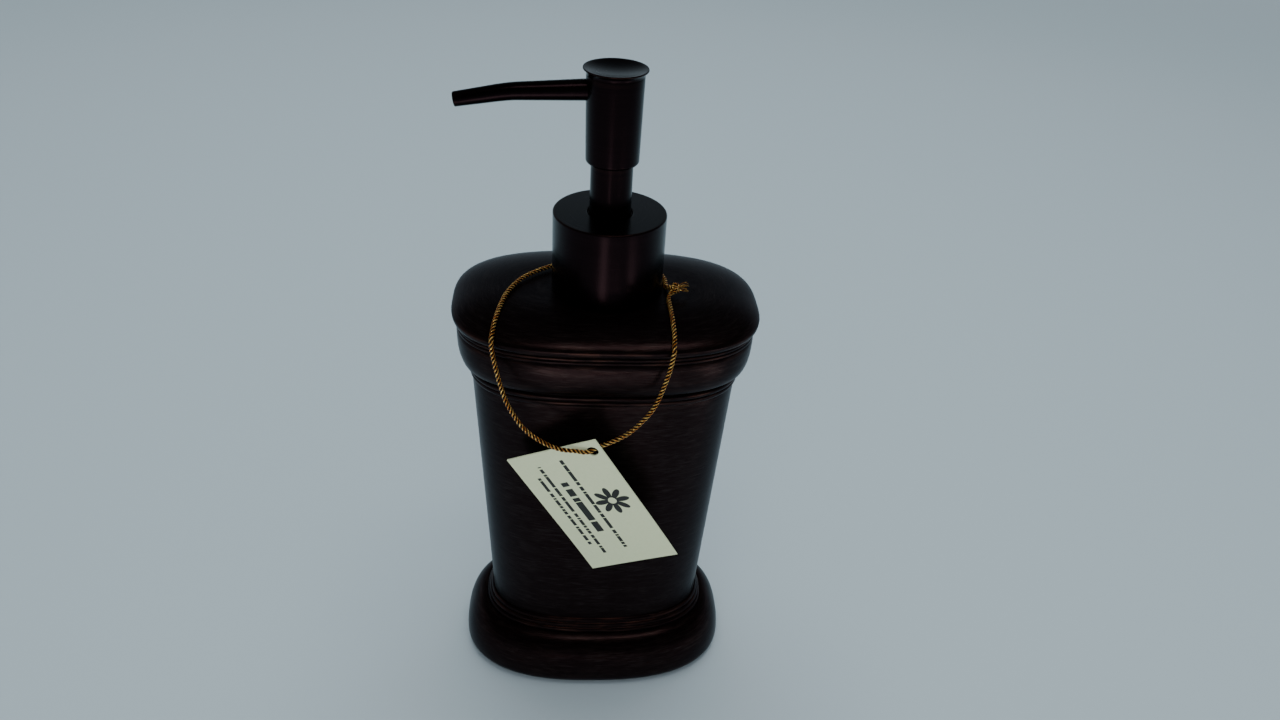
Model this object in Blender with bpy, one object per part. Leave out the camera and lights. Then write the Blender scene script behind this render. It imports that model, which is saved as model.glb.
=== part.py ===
"""Soap pump dispenser: a cast reservoir with a moulded cushion lid, and a screw-on lotion pump with a swivel spout.

The dispenser stands on its base pad at z = 0. +Z is up, the wide front faces -Y, and the spout points along -X.
Lengths are in metres. GAP is the space left between pieces that touch on the real object.
"""

import math

import bmesh
import bpy
from mathutils import Matrix, Vector

GAP = 0.0003

# Plan of the cast body: every level is a rounded rectangle, wider than it is deep by a fixed amount.
EXTRA_HALF_WIDTH = 0.01525
BASE_EXPONENT = 2.5
LID_EXPONENT = 2.87
BODY_POINTS = 56

# Levels of the cast body, from the floor up.
PAD_PROUD = 0.0004
BASE_HEIGHT = 0.0183
BASE_BEADS_HEIGHT = 0.0050
WALL_HEIGHT = 0.0934
LOWER_BEADS_HEIGHT = 0.0068
BAND_HEIGHT = 0.0110
UPPER_BEADS_HEIGHT = 0.0024
LID_EDGE_HEIGHT = 0.0024
DOME_RISE = 0.00535

# Half depths of the cast body at those levels.
REST_HALF_DEPTH = 0.0284
BASE_HALF_DEPTH = 0.03136
BASE_NECK_HALF_DEPTH = 0.02356
WALL_FOOT_HALF_DEPTH = 0.02146
WALL_TOP_HALF_DEPTH = 0.02655
BAND_FOOT_HALF_DEPTH = 0.02950
BAND_TOP_HALF_DEPTH = 0.03080
LID_HALF_DEPTH = 0.03210
BASE_WIDEST_HEIGHT = 0.0040
BEAD_RADIUS = 0.0005
DOME_START = 0.4
DOME_CURVE = 2.19
DOME_SHOULDER = 1.6

# The hollow inside the cast body.
WALL_THICKNESS = 0.0042
FLOOR_THICKNESS = 0.0060
CEILING_THICKNESS = 0.0130
PAD_HALF_DEPTH = 0.0266
PAD_THICKNESS = 0.0012
PAD_RECESS_GAP = 0.0004

# Threaded neck and its screw cap.
NECK_CORE_RADIUS = 0.0125
NECK_WALL = 0.0015
NECK_HEIGHT = 0.0105
NECK_FLANGE_WIDTH = 0.0024
NECK_FLANGE_THICKNESS = 0.0014
NECK_BARREL_LENGTH = 0.0105
THREAD_PITCH = 0.00423
THREAD_DEPTH = 0.00115
THREAD_TURNS = 1.25
THREAD_START_HEIGHT = 0.0040
NECK_RIDGE_WIDTH = 0.0019
CAP_RIDGE_WIDTH = 0.0015
THREAD_CLEARANCE = 0.00035
CAP_WALL = 0.0021
CAP_WEB_THICKNESS = 0.0016
CAP_WEB_CLEARANCE = 0.0009
CAP_FOOT_HEIGHT = 0.0008
GASKET_THICKNESS = 0.0012

# Metal collar over the screw cap.
COLLAR_WALL = 0.0006
COLLAR_TOP_THICKNESS = 0.0008
COLLAR_EDGE = 0.0003

# Pump: housing, guide bush, piston, valves and dip tube.
HOUSING_WALL = 0.0010
HOUSING_DEPTH = 0.0560
HOUSING_FOOT_TAPER = 0.0025
HOUSING_FLOOR_THICKNESS = 0.0020
HOUSING_FLANGE_THICKNESS = 0.0014
TURRET_HEIGHT = 0.0045
BUSH_WALL = 0.0022
BUSH_HEIGHT = 0.0077
VALVE_CHAMBER_CLEARANCE = 0.0009
VALVE_HOLE_RADIUS = 0.0016
VALVE_SEAT_THICKNESS = 0.0012
BALL_RADIUS = 0.0023
BALL_LIFT_ROOM = 0.0009
RETAINER_THICKNESS = 0.0014
RETAINER_HOLE_RADIUS = 0.0015
TUBE_RADIUS = 0.0030
TUBE_BORE_RADIUS = 0.0020
TUBE_SOCKET_DEPTH = 0.0085
TUBE_SOCKET_WALL = 0.0010
TUBE_FLOOR_CLEARANCE = 0.0028
PISTON_HEIGHT = 0.0074
SEAL_HEIGHT = 0.0020
SEAL_GROOVE_DEPTH = 0.0010
SPRING_WIRE_RADIUS = 0.00045
SPRING_TURNS = 10
STROKE = 0.0140
HEAD_LANDING_CLEARANCE = 0.0015

# Stem and head.
STEM_RADIUS = 0.0036
STEM_BORE_RADIUS = 0.0018
STEM_FOOT_LENGTH = 0.0024
FERRULE_WALL = 0.0007
SLEEVE_RADIUS = 0.0062
SLEEVE_WALL = 0.0004
SLEEVE_BORE_CLEARANCE = 0.0014
HEAD_HEIGHT = 0.0253
HEAD_STEP = 0.00161
HEAD_FLARE = 0.00044
HEAD_WALL = 0.0007
HEAD_FOOT_ROUND = 0.0010
CAP_DISC_OVERHANG = 0.00097
CAP_DISC_HEIGHT = 0.0018
CAP_DISH_DEPTH = 0.0013
CAP_RIM_WIDTH = 0.0005
SOCKET_DEPTH = 0.0125
SLEEVE_GRIP = 0.0055
OUTLET_POCKET_DEPTH = 0.0070
OUTLET_POCKET_CLEARANCE = 0.0005

# Spout: a tapering tube that leaves the head level and bends down towards its tip.
SPOUT_BELOW_HEAD_TOP = 0.0042
SPOUT_ROOT_RADIUS = 0.0031
SPOUT_TIP_RADIUS = 0.0021
SPOUT_WALL = 0.0005
LINER_WALL = 0.0005
SPOUT_ROOT_X = -0.0046
SPOUT_BEND_X = -0.0295
SPOUT_TIP_X = -0.0447
SPOUT_BEND_DROP = 0.0014
SPOUT_TIP_DROP = 0.0042
SPOUT_POINTS = 13

# Hang tag and its cord.
TAG_WIDTH = 0.0320
TAG_LENGTH = 0.0545
TAG_THICKNESS = 0.0004
TAG_HOLE_RADIUS = 0.0018
TAG_HOLE_FROM_SIDE = 0.0032
TAG_HOLE_FROM_TOP = 0.0042
TAG_HOLE_X = -0.0039
TAG_HOLE_IN_FRONT = 0.0046
TAG_HOLE_BELOW_EDGE = 0.0309
TAG_LEAN = 0.195
TAG_TURN = -0.25
CORD_DIAMETER = 0.0014
CORD_POINT_SPACING = 0.0034
CORD_REST_GAP = 0.0004
CORD_LIFT = CORD_DIAMETER / 2 + CORD_REST_GAP

# Levels that follow from the sizes above.
BASE_TOP_Z = BASE_HEIGHT
WALL_FOOT_Z = BASE_TOP_Z + BASE_BEADS_HEIGHT
WALL_TOP_Z = WALL_FOOT_Z + WALL_HEIGHT
BAND_FOOT_Z = WALL_TOP_Z + LOWER_BEADS_HEIGHT
BAND_TOP_Z = BAND_FOOT_Z + BAND_HEIGHT
LID_FOOT_Z = BAND_TOP_Z + UPPER_BEADS_HEIGHT
LID_EDGE_Z = LID_FOOT_Z + LID_EDGE_HEIGHT
PLATEAU_Z = LID_EDGE_Z + DOME_RISE

NECK_BORE_RADIUS = NECK_CORE_RADIUS - NECK_WALL
NECK_FLANGE_RADIUS = NECK_CORE_RADIUS + NECK_FLANGE_WIDTH
CAP_BORE_RADIUS = NECK_CORE_RADIUS + THREAD_DEPTH + THREAD_CLEARANCE
CAP_RADIUS = CAP_BORE_RADIUS + CAP_WALL
COLLAR_RADIUS = CAP_RADIUS + GAP + COLLAR_WALL
HOUSING_BORE_RADIUS = SLEEVE_RADIUS + SLEEVE_BORE_CLEARANCE
HOUSING_RADIUS = HOUSING_BORE_RADIUS + HOUSING_WALL
HOUSING_FLANGE_RADIUS = NECK_CORE_RADIUS - GAP
VALVE_CHAMBER_RADIUS = BALL_RADIUS + VALVE_CHAMBER_CLEARANCE
VALVE_CHAMBER_DEPTH = 2 * BALL_RADIUS + BALL_LIFT_ROOM
OUTLET_POCKET_RADIUS = BALL_RADIUS + OUTLET_POCKET_CLEARANCE
HEAD_FOOT_RADIUS = SLEEVE_RADIUS + HEAD_STEP
HEAD_TOP_RADIUS = HEAD_FOOT_RADIUS + HEAD_FLARE
CAP_DISC_RADIUS = HEAD_TOP_RADIUS + CAP_DISC_OVERHANG
BUSH_BORE_RADIUS = SLEEVE_RADIUS + GAP
CORE_RADIUS = HEAD_FOOT_RADIUS - HEAD_WALL - GAP
CORE_SPIGOT_RADIUS = SLEEVE_RADIUS - SLEEVE_WALL - GAP

NECK_TOP_Z = PLATEAU_Z + NECK_HEIGHT
GASKET_Z = NECK_TOP_Z + GAP
FLANGE_Z = GASKET_Z + GASKET_THICKNESS + GAP
FLANGE_TOP_Z = FLANGE_Z + HOUSING_FLANGE_THICKNESS
CAP_WEB_Z = FLANGE_TOP_Z + GAP
CAP_TOP_Z = CAP_WEB_Z + CAP_WEB_THICKNESS
TURRET_TOP_Z = FLANGE_TOP_Z + TURRET_HEIGHT
BUSH_Z = CAP_TOP_Z + GAP
BUSH_TOP_Z = BUSH_Z + BUSH_HEIGHT
COLLAR_TOP_Z = BUSH_TOP_Z + GAP + COLLAR_TOP_THICKNESS

HOUSING_FLOOR_Z = FLANGE_Z - HOUSING_DEPTH
VALVE_SEAT_Z = HOUSING_FLOOR_Z - VALVE_CHAMBER_DEPTH
TUBE_TOP_Z = VALVE_SEAT_Z - VALVE_SEAT_THICKNESS - GAP
SOCKET_FOOT_Z = VALVE_SEAT_Z - VALVE_SEAT_THICKNESS - TUBE_SOCKET_DEPTH
RETAINER_Z = HOUSING_FLOOR_Z + GAP
RETAINER_TOP_Z = RETAINER_Z + RETAINER_THICKNESS
PISTON_TOP_Z = TURRET_TOP_Z
PISTON_FOOT_Z = PISTON_TOP_Z - PISTON_HEIGHT
STEM_FOOT_Z = PISTON_FOOT_Z - STEM_FOOT_LENGTH

HEAD_FOOT_Z = COLLAR_TOP_Z + STROKE + HEAD_LANDING_CLEARANCE
HEAD_TOP_Z = HEAD_FOOT_Z + HEAD_HEIGHT
CORE_FOOT_Z = HEAD_FOOT_Z + HEAD_WALL + GAP
CORE_SHOULDER_Z = CORE_FOOT_Z + SLEEVE_GRIP
CORE_TOP_Z = HEAD_TOP_Z - 2 * GAP
STEM_TOP_Z = CORE_FOOT_Z + SOCKET_DEPTH
SLEEVE_FOOT_Z = PISTON_TOP_Z + 2 * GAP
SLEEVE_TOP_Z = CORE_SHOULDER_Z - GAP
SPOUT_Z = HEAD_TOP_Z - SPOUT_BELOW_HEAD_TOP
OUTLET_SEAT_Z = STEM_TOP_Z - OUTLET_POCKET_DEPTH

TURNED_POINTS = 40
SMALL_POINTS = 24


def start_empty():
    """Removes whatever objects the scene holds."""
    for item in list(bpy.data.objects):
        bpy.data.objects.remove(item, do_unlink=True)


def material(name, colour, roughness, metallic):
    made = bpy.data.materials.new(name)
    made.use_nodes = True
    shader = made.node_tree.nodes["Principled BSDF"]
    shader.inputs["Base Color"].default_value = (*colour, 1.0)
    shader.inputs["Roughness"].default_value = roughness
    shader.inputs["Metallic"].default_value = metallic
    return made


def add_object(name, bm, finish, smooth_angle=35):
    """Turns a bmesh into a named object with its faces outwards and its round sides smooth."""
    bmesh.ops.recalc_face_normals(bm, faces=bm.faces)
    mesh = bpy.data.meshes.new(name)
    bm.to_mesh(mesh)
    bm.free()
    mesh.shade_smooth()
    mesh.set_sharp_from_angle(angle=math.radians(smooth_angle))
    if finish:
        mesh.materials.append(finish)
    made = bpy.data.objects.new(name, mesh)
    bpy.context.collection.objects.link(made)
    return made


def bridge(bm, lower, upper):
    """Joins two rings of the same count with quads, or with triangles where one ring is a single point."""
    count = max(len(lower), len(upper))
    for index in range(count):
        after = (index + 1) % count
        corners = [
            lower[index % len(lower)],
            lower[after % len(lower)],
            upper[after % len(upper)],
            upper[index % len(upper)],
        ]
        bm.faces.new(list(dict.fromkeys(corners)))


def skin(name, rings, finish, closed=False, smooth_angle=35):
    """One closed body from rings of points. A closed chain joins its last ring to its first; an open one is capped."""
    bm = bmesh.new()
    made = [[bm.verts.new(point) for point in ring] for ring in rings]
    for lower, upper in zip(made, made[1:]):
        bridge(bm, lower, upper)
    if closed:
        bridge(bm, made[-1], made[0])
    else:
        for end in (made[0], made[-1]):
            if len(end) > 2:
                bm.faces.new(end)
    return add_object(name, bm, finish, smooth_angle)


def circle(radius, z, count):
    if radius == 0:
        return [Vector((0, 0, z))]
    turns = [2 * math.pi * index / count for index in range(count)]
    return [Vector((radius * math.cos(turn), radius * math.sin(turn), z)) for turn in turns]


def turned(name, profile, finish, count=TURNED_POINTS, closed=True):
    """A piece turned about Z from (radius, z) points. A closed profile makes a ring or a tube."""
    return skin(name, [circle(radius, z, count) for radius, z in profile], finish, closed)


def quarter(centre, radii, start, end, steps):
    """Points on an elliptical arc from start to end, in degrees, both ends included."""
    points = []
    for step in range(steps + 1):
        angle = math.radians(start + (end - start) * step / steps)
        points.append((centre[0] + radii[0] * math.cos(angle), centre[1] + radii[1] * math.sin(angle)))
    return points


# ---------------------------------------------------------------- cast body


def plan_ring(half_width, half_depth, exponent, z, count=BODY_POINTS):
    """A rounded rectangle: |x/half_width|^n + |y/half_depth|^n = 1, at equal turns about the middle."""
    points = []
    for index in range(count):
        turn = 2 * math.pi * index / count
        across = abs(math.cos(turn) / half_width) ** exponent
        along = abs(math.sin(turn) / half_depth) ** exponent
        reach = (across + along) ** (-1 / exponent)
        points.append(Vector((reach * math.cos(turn), reach * math.sin(turn), z)))
    return points


def body_exponent(z):
    """The plan's corners sharpen steadily from the wall's foot to its top."""
    share = min(1, max(0, (z - WALL_FOOT_Z) / WALL_HEIGHT))
    return BASE_EXPONENT + (LID_EXPONENT - BASE_EXPONENT) * share


def body_ring(half_depth, z):
    return plan_ring(half_depth + EXTRA_HALF_WIDTH, half_depth, body_exponent(z), z)


def base_profile():
    """(half depth, z) from the rest face, round the foot roll and up to its neck."""
    roll_foot = quarter(
        (REST_HALF_DEPTH, BASE_WIDEST_HEIGHT),
        (BASE_HALF_DEPTH - REST_HALF_DEPTH, BASE_WIDEST_HEIGHT - PAD_PROUD),
        -90,
        0,
        4,
    )
    roll_top = quarter(
        (BASE_NECK_HALF_DEPTH, BASE_WIDEST_HEIGHT),
        (BASE_HALF_DEPTH - BASE_NECK_HALF_DEPTH, BASE_TOP_Z - BASE_WIDEST_HEIGHT),
        0,
        90,
        8,
    )
    return roll_foot + roll_top[1:]


def beads(start, end, count):
    """A row of small round beads between two (half depth, z) points, each bead three points proud of the line."""
    points = []
    for index in range(count):
        for share, rise in ((0.15, 0.0), (0.5, BEAD_RADIUS), (0.85, 0.0)):
            along = (index + share) / count
            points.append(
                (
                    start[0] + (end[0] - start[0]) * along + rise,
                    start[1] + (end[1] - start[1]) * along,
                )
            )
    return points


def band_profile():
    """The convex band under the lid: fullest near its top, drawn in at its foot."""
    foot = (BAND_FOOT_HALF_DEPTH, BAND_FOOT_Z)
    middle = (BAND_TOP_HALF_DEPTH - 0.0001, BAND_FOOT_Z + 0.55 * BAND_HEIGHT)
    return [
        (WALL_TOP_HALF_DEPTH + 0.0004, BAND_FOOT_Z - 0.0014),
        (BAND_FOOT_HALF_DEPTH - 0.0008, BAND_FOOT_Z - 0.0008),
        foot,
        ((foot[0] + middle[0]) / 2 + 0.0002, (foot[1] + middle[1]) / 2),
        middle,
        (BAND_TOP_HALF_DEPTH, BAND_TOP_Z - 0.0016),
        (BAND_TOP_HALF_DEPTH - 0.0004, BAND_TOP_Z),
    ]


def outer_profile():
    """(half depth, z) of the whole cast outside, from the foot roll to the lid's widest level."""
    wall_foot = (WALL_FOOT_HALF_DEPTH, WALL_FOOT_Z)
    wall_top = (WALL_TOP_HALF_DEPTH, WALL_TOP_Z)
    bead_foot = (WALL_TOP_HALF_DEPTH, WALL_TOP_Z + 0.0006)
    bead_top = (WALL_TOP_HALF_DEPTH + 0.0007, WALL_TOP_Z + 0.0044)
    lid_inside = BAND_TOP_HALF_DEPTH - 0.0002
    return (
        base_profile()
        + beads((BASE_NECK_HALF_DEPTH, BASE_TOP_Z), wall_foot, 3)
        + [wall_foot]
        + [wall_top]
        + beads(bead_foot, bead_top, 2)
        + band_profile()
        + beads((lid_inside, BAND_TOP_Z), (lid_inside, LID_FOOT_Z), 2)
        + [
            (lid_inside + 0.0003, LID_FOOT_Z + 0.0003),
            (LID_HALF_DEPTH - 0.0004, LID_FOOT_Z + 0.0009),
            (LID_HALF_DEPTH, LID_EDGE_Z),
        ]
    )


def dome_height(scale):
    """Height of the dome over the lid's edge, where the plan is scaled down to this share of the edge."""
    if scale <= DOME_START:
        return DOME_RISE
    share = (scale - DOME_START) / (1 - DOME_START)
    return DOME_RISE * (1 - share**DOME_CURVE) ** (1 / DOME_SHOULDER)


def dome_rings():
    """The dome, in plans scaled down from the lid's edge to a flat plateau round the neck."""
    rings = []
    for scale in (0.985, 0.95, 0.89, 0.81, 0.72, 0.63):
        half_depth = LID_HALF_DEPTH * scale
        half_width = (LID_HALF_DEPTH + EXTRA_HALF_WIDTH) * scale
        rings.append(plan_ring(half_width, half_depth, LID_EXPONENT, LID_EDGE_Z + dome_height(scale)))
    rings.append(circle(COLLAR_RADIUS + 0.0004, PLATEAU_Z, BODY_POINTS))
    return rings


def hollow_rings():
    """The hollow, from its ceiling under the lid down to a flat floor with a rounded edge."""
    ceiling_z = PLATEAU_Z - CEILING_THICKNESS
    neck_radius = NECK_CORE_RADIUS + 2 * GAP
    top_half_depth = WALL_TOP_HALF_DEPTH - WALL_THICKNESS
    foot_half_depth = WALL_FOOT_HALF_DEPTH - WALL_THICKNESS
    floor_z = FLOOR_THICKNESS
    edge = 0.0040
    return [
        circle(neck_radius, ceiling_z, BODY_POINTS),
        body_ring(top_half_depth - edge, ceiling_z - edge / 3),
        body_ring(top_half_depth, ceiling_z - 2 * edge),
        body_ring(top_half_depth, WALL_TOP_Z),
        body_ring(foot_half_depth, WALL_FOOT_Z),
        body_ring(foot_half_depth, floor_z + edge),
        body_ring(foot_half_depth - edge, floor_z),
    ]


def make_reservoir(finish):
    """The cast body: foot roll, tapered wall, band, cushion lid, neck hole and hollow, as one skin."""
    recess_z = PAD_PROUD + PAD_THICKNESS - GAP
    recess = PAD_HALF_DEPTH + PAD_RECESS_GAP
    neck_radius = NECK_CORE_RADIUS + 2 * GAP
    seat_radius = NECK_FLANGE_RADIUS + GAP
    seat_z = PLATEAU_Z - NECK_FLANGE_THICKNESS - GAP
    rings = [body_ring(recess, recess_z), body_ring(recess, PAD_PROUD)]
    rings += [body_ring(half_depth, z) for half_depth, z in outer_profile()]
    rings += dome_rings()
    rings += [
        circle(seat_radius, PLATEAU_Z, BODY_POINTS),
        circle(seat_radius, seat_z, BODY_POINTS),
        circle(neck_radius, seat_z, BODY_POINTS),
    ]
    rings += hollow_rings()
    return skin("reservoir", rings, finish, smooth_angle=28)


def make_base_pad(finish):
    """A foam pad set into the recess under the base."""
    top_z = PAD_THICKNESS - 2 * GAP + PAD_PROUD
    rings = [body_ring(PAD_HALF_DEPTH, 0), body_ring(PAD_HALF_DEPTH, top_z)]
    return skin("base_pad", rings, finish)


# ---------------------------------------------------------------- neck, screw cap and collar


def helix_ridge(name, root_radius, crest_radius, width, start_z, finish=None):
    """A tapered-flank thread ridge as one closed sweep, its root sunk into the wall that carries it."""
    sink = math.copysign(0.0004, root_radius - crest_radius)
    steps = int(THREAD_TURNS * 28)
    rings = []
    for step in range(steps + 1):
        turn = 2 * math.pi * THREAD_TURNS * step / steps
        lift = start_z + THREAD_PITCH * turn / (2 * math.pi)
        ends = min(1.0, 0.25 + 0.25 * min(step, steps - step))
        crest = root_radius + (crest_radius - root_radius) * ends
        across = Vector((math.cos(turn), math.sin(turn), 0))
        corners = (
            (root_radius + sink, -width / 2),
            (crest, -width / 4),
            (crest, width / 4),
            (root_radius + sink, width / 2),
        )
        rings.append([across * radius + Vector((0, 0, lift + rise)) for radius, rise in corners])
    return skin(name, rings, finish)


def join_with(target, helper, operation="UNION"):
    """Adds an exact Boolean to the target and hides its helper."""
    helper.hide_render = True
    helper.display_type = "WIRE"
    modifier = target.modifiers.new(helper.name, "BOOLEAN")
    modifier.operation = operation
    modifier.solver = "EXACT"
    modifier.object = helper


def make_neck_insert(finish):
    """The threaded plastic neck, with a flange that sits in the top of the cast lid."""
    foot_z = PLATEAU_Z - NECK_BARREL_LENGTH
    flange_z = PLATEAU_Z - NECK_FLANGE_THICKNESS
    profile = [
        (NECK_BORE_RADIUS, foot_z),
        (NECK_CORE_RADIUS, foot_z),
        (NECK_CORE_RADIUS, flange_z),
        (NECK_FLANGE_RADIUS, flange_z),
        (NECK_FLANGE_RADIUS, PLATEAU_Z),
        (NECK_CORE_RADIUS, PLATEAU_Z),
        (NECK_CORE_RADIUS, NECK_TOP_Z - 0.0004),
        (NECK_CORE_RADIUS - 0.0004, NECK_TOP_Z),
        (NECK_BORE_RADIUS, NECK_TOP_Z),
    ]
    neck = turned("neck_insert", profile, finish)
    ridge = helix_ridge(
        "neck_ridge",
        NECK_CORE_RADIUS,
        NECK_CORE_RADIUS + THREAD_DEPTH,
        NECK_RIDGE_WIDTH,
        PLATEAU_Z + THREAD_START_HEIGHT,
    )
    join_with(neck, ridge)
    return neck


def make_screw_cap(finish):
    """The plastic screw cap under the metal collar. Its thread sits half a pitch below the neck's."""
    foot_z = PLATEAU_Z + CAP_FOOT_HEIGHT
    hole_radius = HOUSING_RADIUS + CAP_WEB_CLEARANCE
    profile = [
        (CAP_BORE_RADIUS, foot_z),
        (CAP_RADIUS, foot_z),
        (CAP_RADIUS, CAP_TOP_Z - 0.0006),
        (CAP_RADIUS - 0.0006, CAP_TOP_Z),
        (hole_radius, CAP_TOP_Z),
        (hole_radius, CAP_WEB_Z),
        (CAP_BORE_RADIUS, CAP_WEB_Z),
    ]
    cap = turned("screw_cap", profile, finish)
    ridge = helix_ridge(
        "cap_ridge",
        CAP_BORE_RADIUS,
        NECK_CORE_RADIUS + THREAD_CLEARANCE,
        CAP_RIDGE_WIDTH,
        PLATEAU_Z + THREAD_START_HEIGHT - THREAD_PITCH / 2,
    )
    join_with(cap, ridge)
    return cap


def make_collar(finish):
    """The drawn metal collar: a plain sleeve with a flat top that the stem passes through."""
    foot_z = PLATEAU_Z + GAP
    inside = COLLAR_RADIUS - COLLAR_WALL
    under_top_z = COLLAR_TOP_Z - COLLAR_TOP_THICKNESS
    hole_radius = SLEEVE_RADIUS + 2 * GAP
    profile = [
        (inside, foot_z),
        (COLLAR_RADIUS, foot_z),
        (COLLAR_RADIUS, COLLAR_TOP_Z - COLLAR_EDGE),
        (COLLAR_RADIUS - COLLAR_EDGE, COLLAR_TOP_Z),
        (hole_radius, COLLAR_TOP_Z),
        (hole_radius, under_top_z),
        (inside, under_top_z),
    ]
    return turned("collar", profile, finish, count=48)


# ---------------------------------------------------------------- pump


def make_gasket(finish):
    inside = HOUSING_RADIUS + 2 * GAP
    outside = HOUSING_FLANGE_RADIUS
    top_z = GASKET_Z + GASKET_THICKNESS
    profile = [(inside, GASKET_Z), (outside, GASKET_Z), (outside, top_z), (inside, top_z)]
    return turned("neck_gasket", profile, finish, count=SMALL_POINTS + 8)


def make_housing(finish):
    """The pump's cylinder: turret, flange, bore, inlet valve chamber and the dip tube's socket."""
    socket_bore = TUBE_RADIUS + GAP
    socket_radius = socket_bore + TUBE_SOCKET_WALL
    under_floor_z = HOUSING_FLOOR_Z - HOUSING_FLOOR_THICKNESS
    profile = [
        (HOUSING_BORE_RADIUS, TURRET_TOP_Z),
        (HOUSING_BORE_RADIUS, HOUSING_FLOOR_Z),
        (VALVE_CHAMBER_RADIUS, HOUSING_FLOOR_Z),
        (VALVE_CHAMBER_RADIUS, VALVE_SEAT_Z),
        (VALVE_HOLE_RADIUS, VALVE_SEAT_Z),
        (VALVE_HOLE_RADIUS, VALVE_SEAT_Z - VALVE_SEAT_THICKNESS),
        (socket_bore, VALVE_SEAT_Z - VALVE_SEAT_THICKNESS),
        (socket_bore, SOCKET_FOOT_Z),
        (socket_radius, SOCKET_FOOT_Z),
        (socket_radius, under_floor_z - HOUSING_FOOT_TAPER),
        (HOUSING_RADIUS, under_floor_z),
        (HOUSING_RADIUS, FLANGE_Z),
        (HOUSING_FLANGE_RADIUS, FLANGE_Z),
        (HOUSING_FLANGE_RADIUS, FLANGE_TOP_Z),
        (HOUSING_RADIUS, FLANGE_TOP_Z),
        (HOUSING_RADIUS, TURRET_TOP_Z),
    ]
    return turned("pump_housing", profile, finish, count=SMALL_POINTS + 8)


def make_bush(finish):
    """The bush that snaps over the housing's turret, clamps it to the screw cap and guides the sleeve."""
    pocket_radius = HOUSING_RADIUS + GAP
    pocket_top_z = TURRET_TOP_Z + GAP
    outside = pocket_radius + BUSH_WALL
    profile = [
        (pocket_radius, BUSH_Z),
        (outside, BUSH_Z),
        (outside, BUSH_TOP_Z),
        (BUSH_BORE_RADIUS, BUSH_TOP_Z),
        (BUSH_BORE_RADIUS, pocket_top_z),
        (pocket_radius, pocket_top_z),
    ]
    return turned("guide_bush", profile, finish, count=SMALL_POINTS + 8)


def make_dip_tube(finish):
    foot_z = FLOOR_THICKNESS + TUBE_FLOOR_CLEARANCE
    profile = [
        (TUBE_BORE_RADIUS, foot_z),
        (TUBE_RADIUS, foot_z),
        (TUBE_RADIUS, TUBE_TOP_Z),
        (TUBE_BORE_RADIUS, TUBE_TOP_Z),
    ]
    return turned("dip_tube", profile, finish, count=SMALL_POINTS)


def make_ball(name, seat_radius, seat_z, finish):
    """A ball that rests on the rim of its seat's hole, a gap above touching it."""
    centre_z = seat_z + math.sqrt(BALL_RADIUS**2 - seat_radius**2) + GAP
    bm = bmesh.new()
    place = Matrix.Translation((0, 0, centre_z))
    bmesh.ops.create_icosphere(bm, subdivisions=2, radius=BALL_RADIUS, matrix=place)
    return add_object(name, bm, finish, smooth_angle=60)


def make_retainer(finish):
    outside = HOUSING_BORE_RADIUS - GAP
    profile = [
        (RETAINER_HOLE_RADIUS, RETAINER_Z),
        (outside, RETAINER_Z),
        (outside, RETAINER_TOP_Z),
        (RETAINER_HOLE_RADIUS, RETAINER_TOP_Z),
    ]
    return turned("valve_retainer", profile, finish, count=SMALL_POINTS)


def make_spring(finish):
    """The return spring between the valve retainer and the piston, with its wire inside the bore."""
    middle_radius = HOUSING_BORE_RADIUS - 4 * GAP - SPRING_WIRE_RADIUS
    foot_z = RETAINER_TOP_Z + GAP + SPRING_WIRE_RADIUS
    length = PISTON_FOOT_Z - GAP - SPRING_WIRE_RADIUS - foot_z
    steps = SPRING_TURNS * 14
    corners = 6
    lead = length / (SPRING_TURNS * 2 * math.pi * middle_radius)
    rings = []
    for step in range(steps + 1):
        share = step / steps
        turn = 2 * math.pi * SPRING_TURNS * share
        out = Vector((math.cos(turn), math.sin(turn), 0))
        along = Vector((-math.sin(turn), math.cos(turn), lead)).normalized()
        side = along.cross(out)
        centre = out * middle_radius + Vector((0, 0, foot_z + length * share))
        ring = []
        for corner in range(corners):
            angle = 2 * math.pi * corner / corners
            ring.append(centre + SPRING_WIRE_RADIUS * (out * math.cos(angle) + side * math.sin(angle)))
        rings.append(ring)
    return skin("return_spring", rings, finish, smooth_angle=70)


def make_piston(finish):
    inside = STEM_RADIUS + GAP
    outside = HOUSING_BORE_RADIUS - 2 * GAP
    groove_foot_z = (PISTON_FOOT_Z + PISTON_TOP_Z - SEAL_HEIGHT) / 2 - GAP
    groove_top_z = groove_foot_z + SEAL_HEIGHT + 2 * GAP
    groove_radius = outside - SEAL_GROOVE_DEPTH
    profile = [
        (inside, PISTON_FOOT_Z),
        (outside, PISTON_FOOT_Z),
        (outside, groove_foot_z),
        (groove_radius, groove_foot_z),
        (groove_radius, groove_top_z),
        (outside, groove_top_z),
        (outside, PISTON_TOP_Z),
        (inside, PISTON_TOP_Z),
    ]
    return turned("piston", profile, finish, count=SMALL_POINTS + 8)


def make_seal(finish):
    inside = HOUSING_BORE_RADIUS - SEAL_GROOVE_DEPTH - GAP
    outside = HOUSING_BORE_RADIUS - GAP
    middle_z = (PISTON_FOOT_Z + PISTON_TOP_Z) / 2
    low_z = middle_z - SEAL_HEIGHT / 2
    high_z = middle_z + SEAL_HEIGHT / 2
    profile = [
        (inside, low_z),
        (outside - GAP, low_z),
        (outside, middle_z),
        (outside - GAP, high_z),
        (inside, high_z),
    ]
    return turned("piston_seal", profile, finish, count=SMALL_POINTS + 8)


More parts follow.
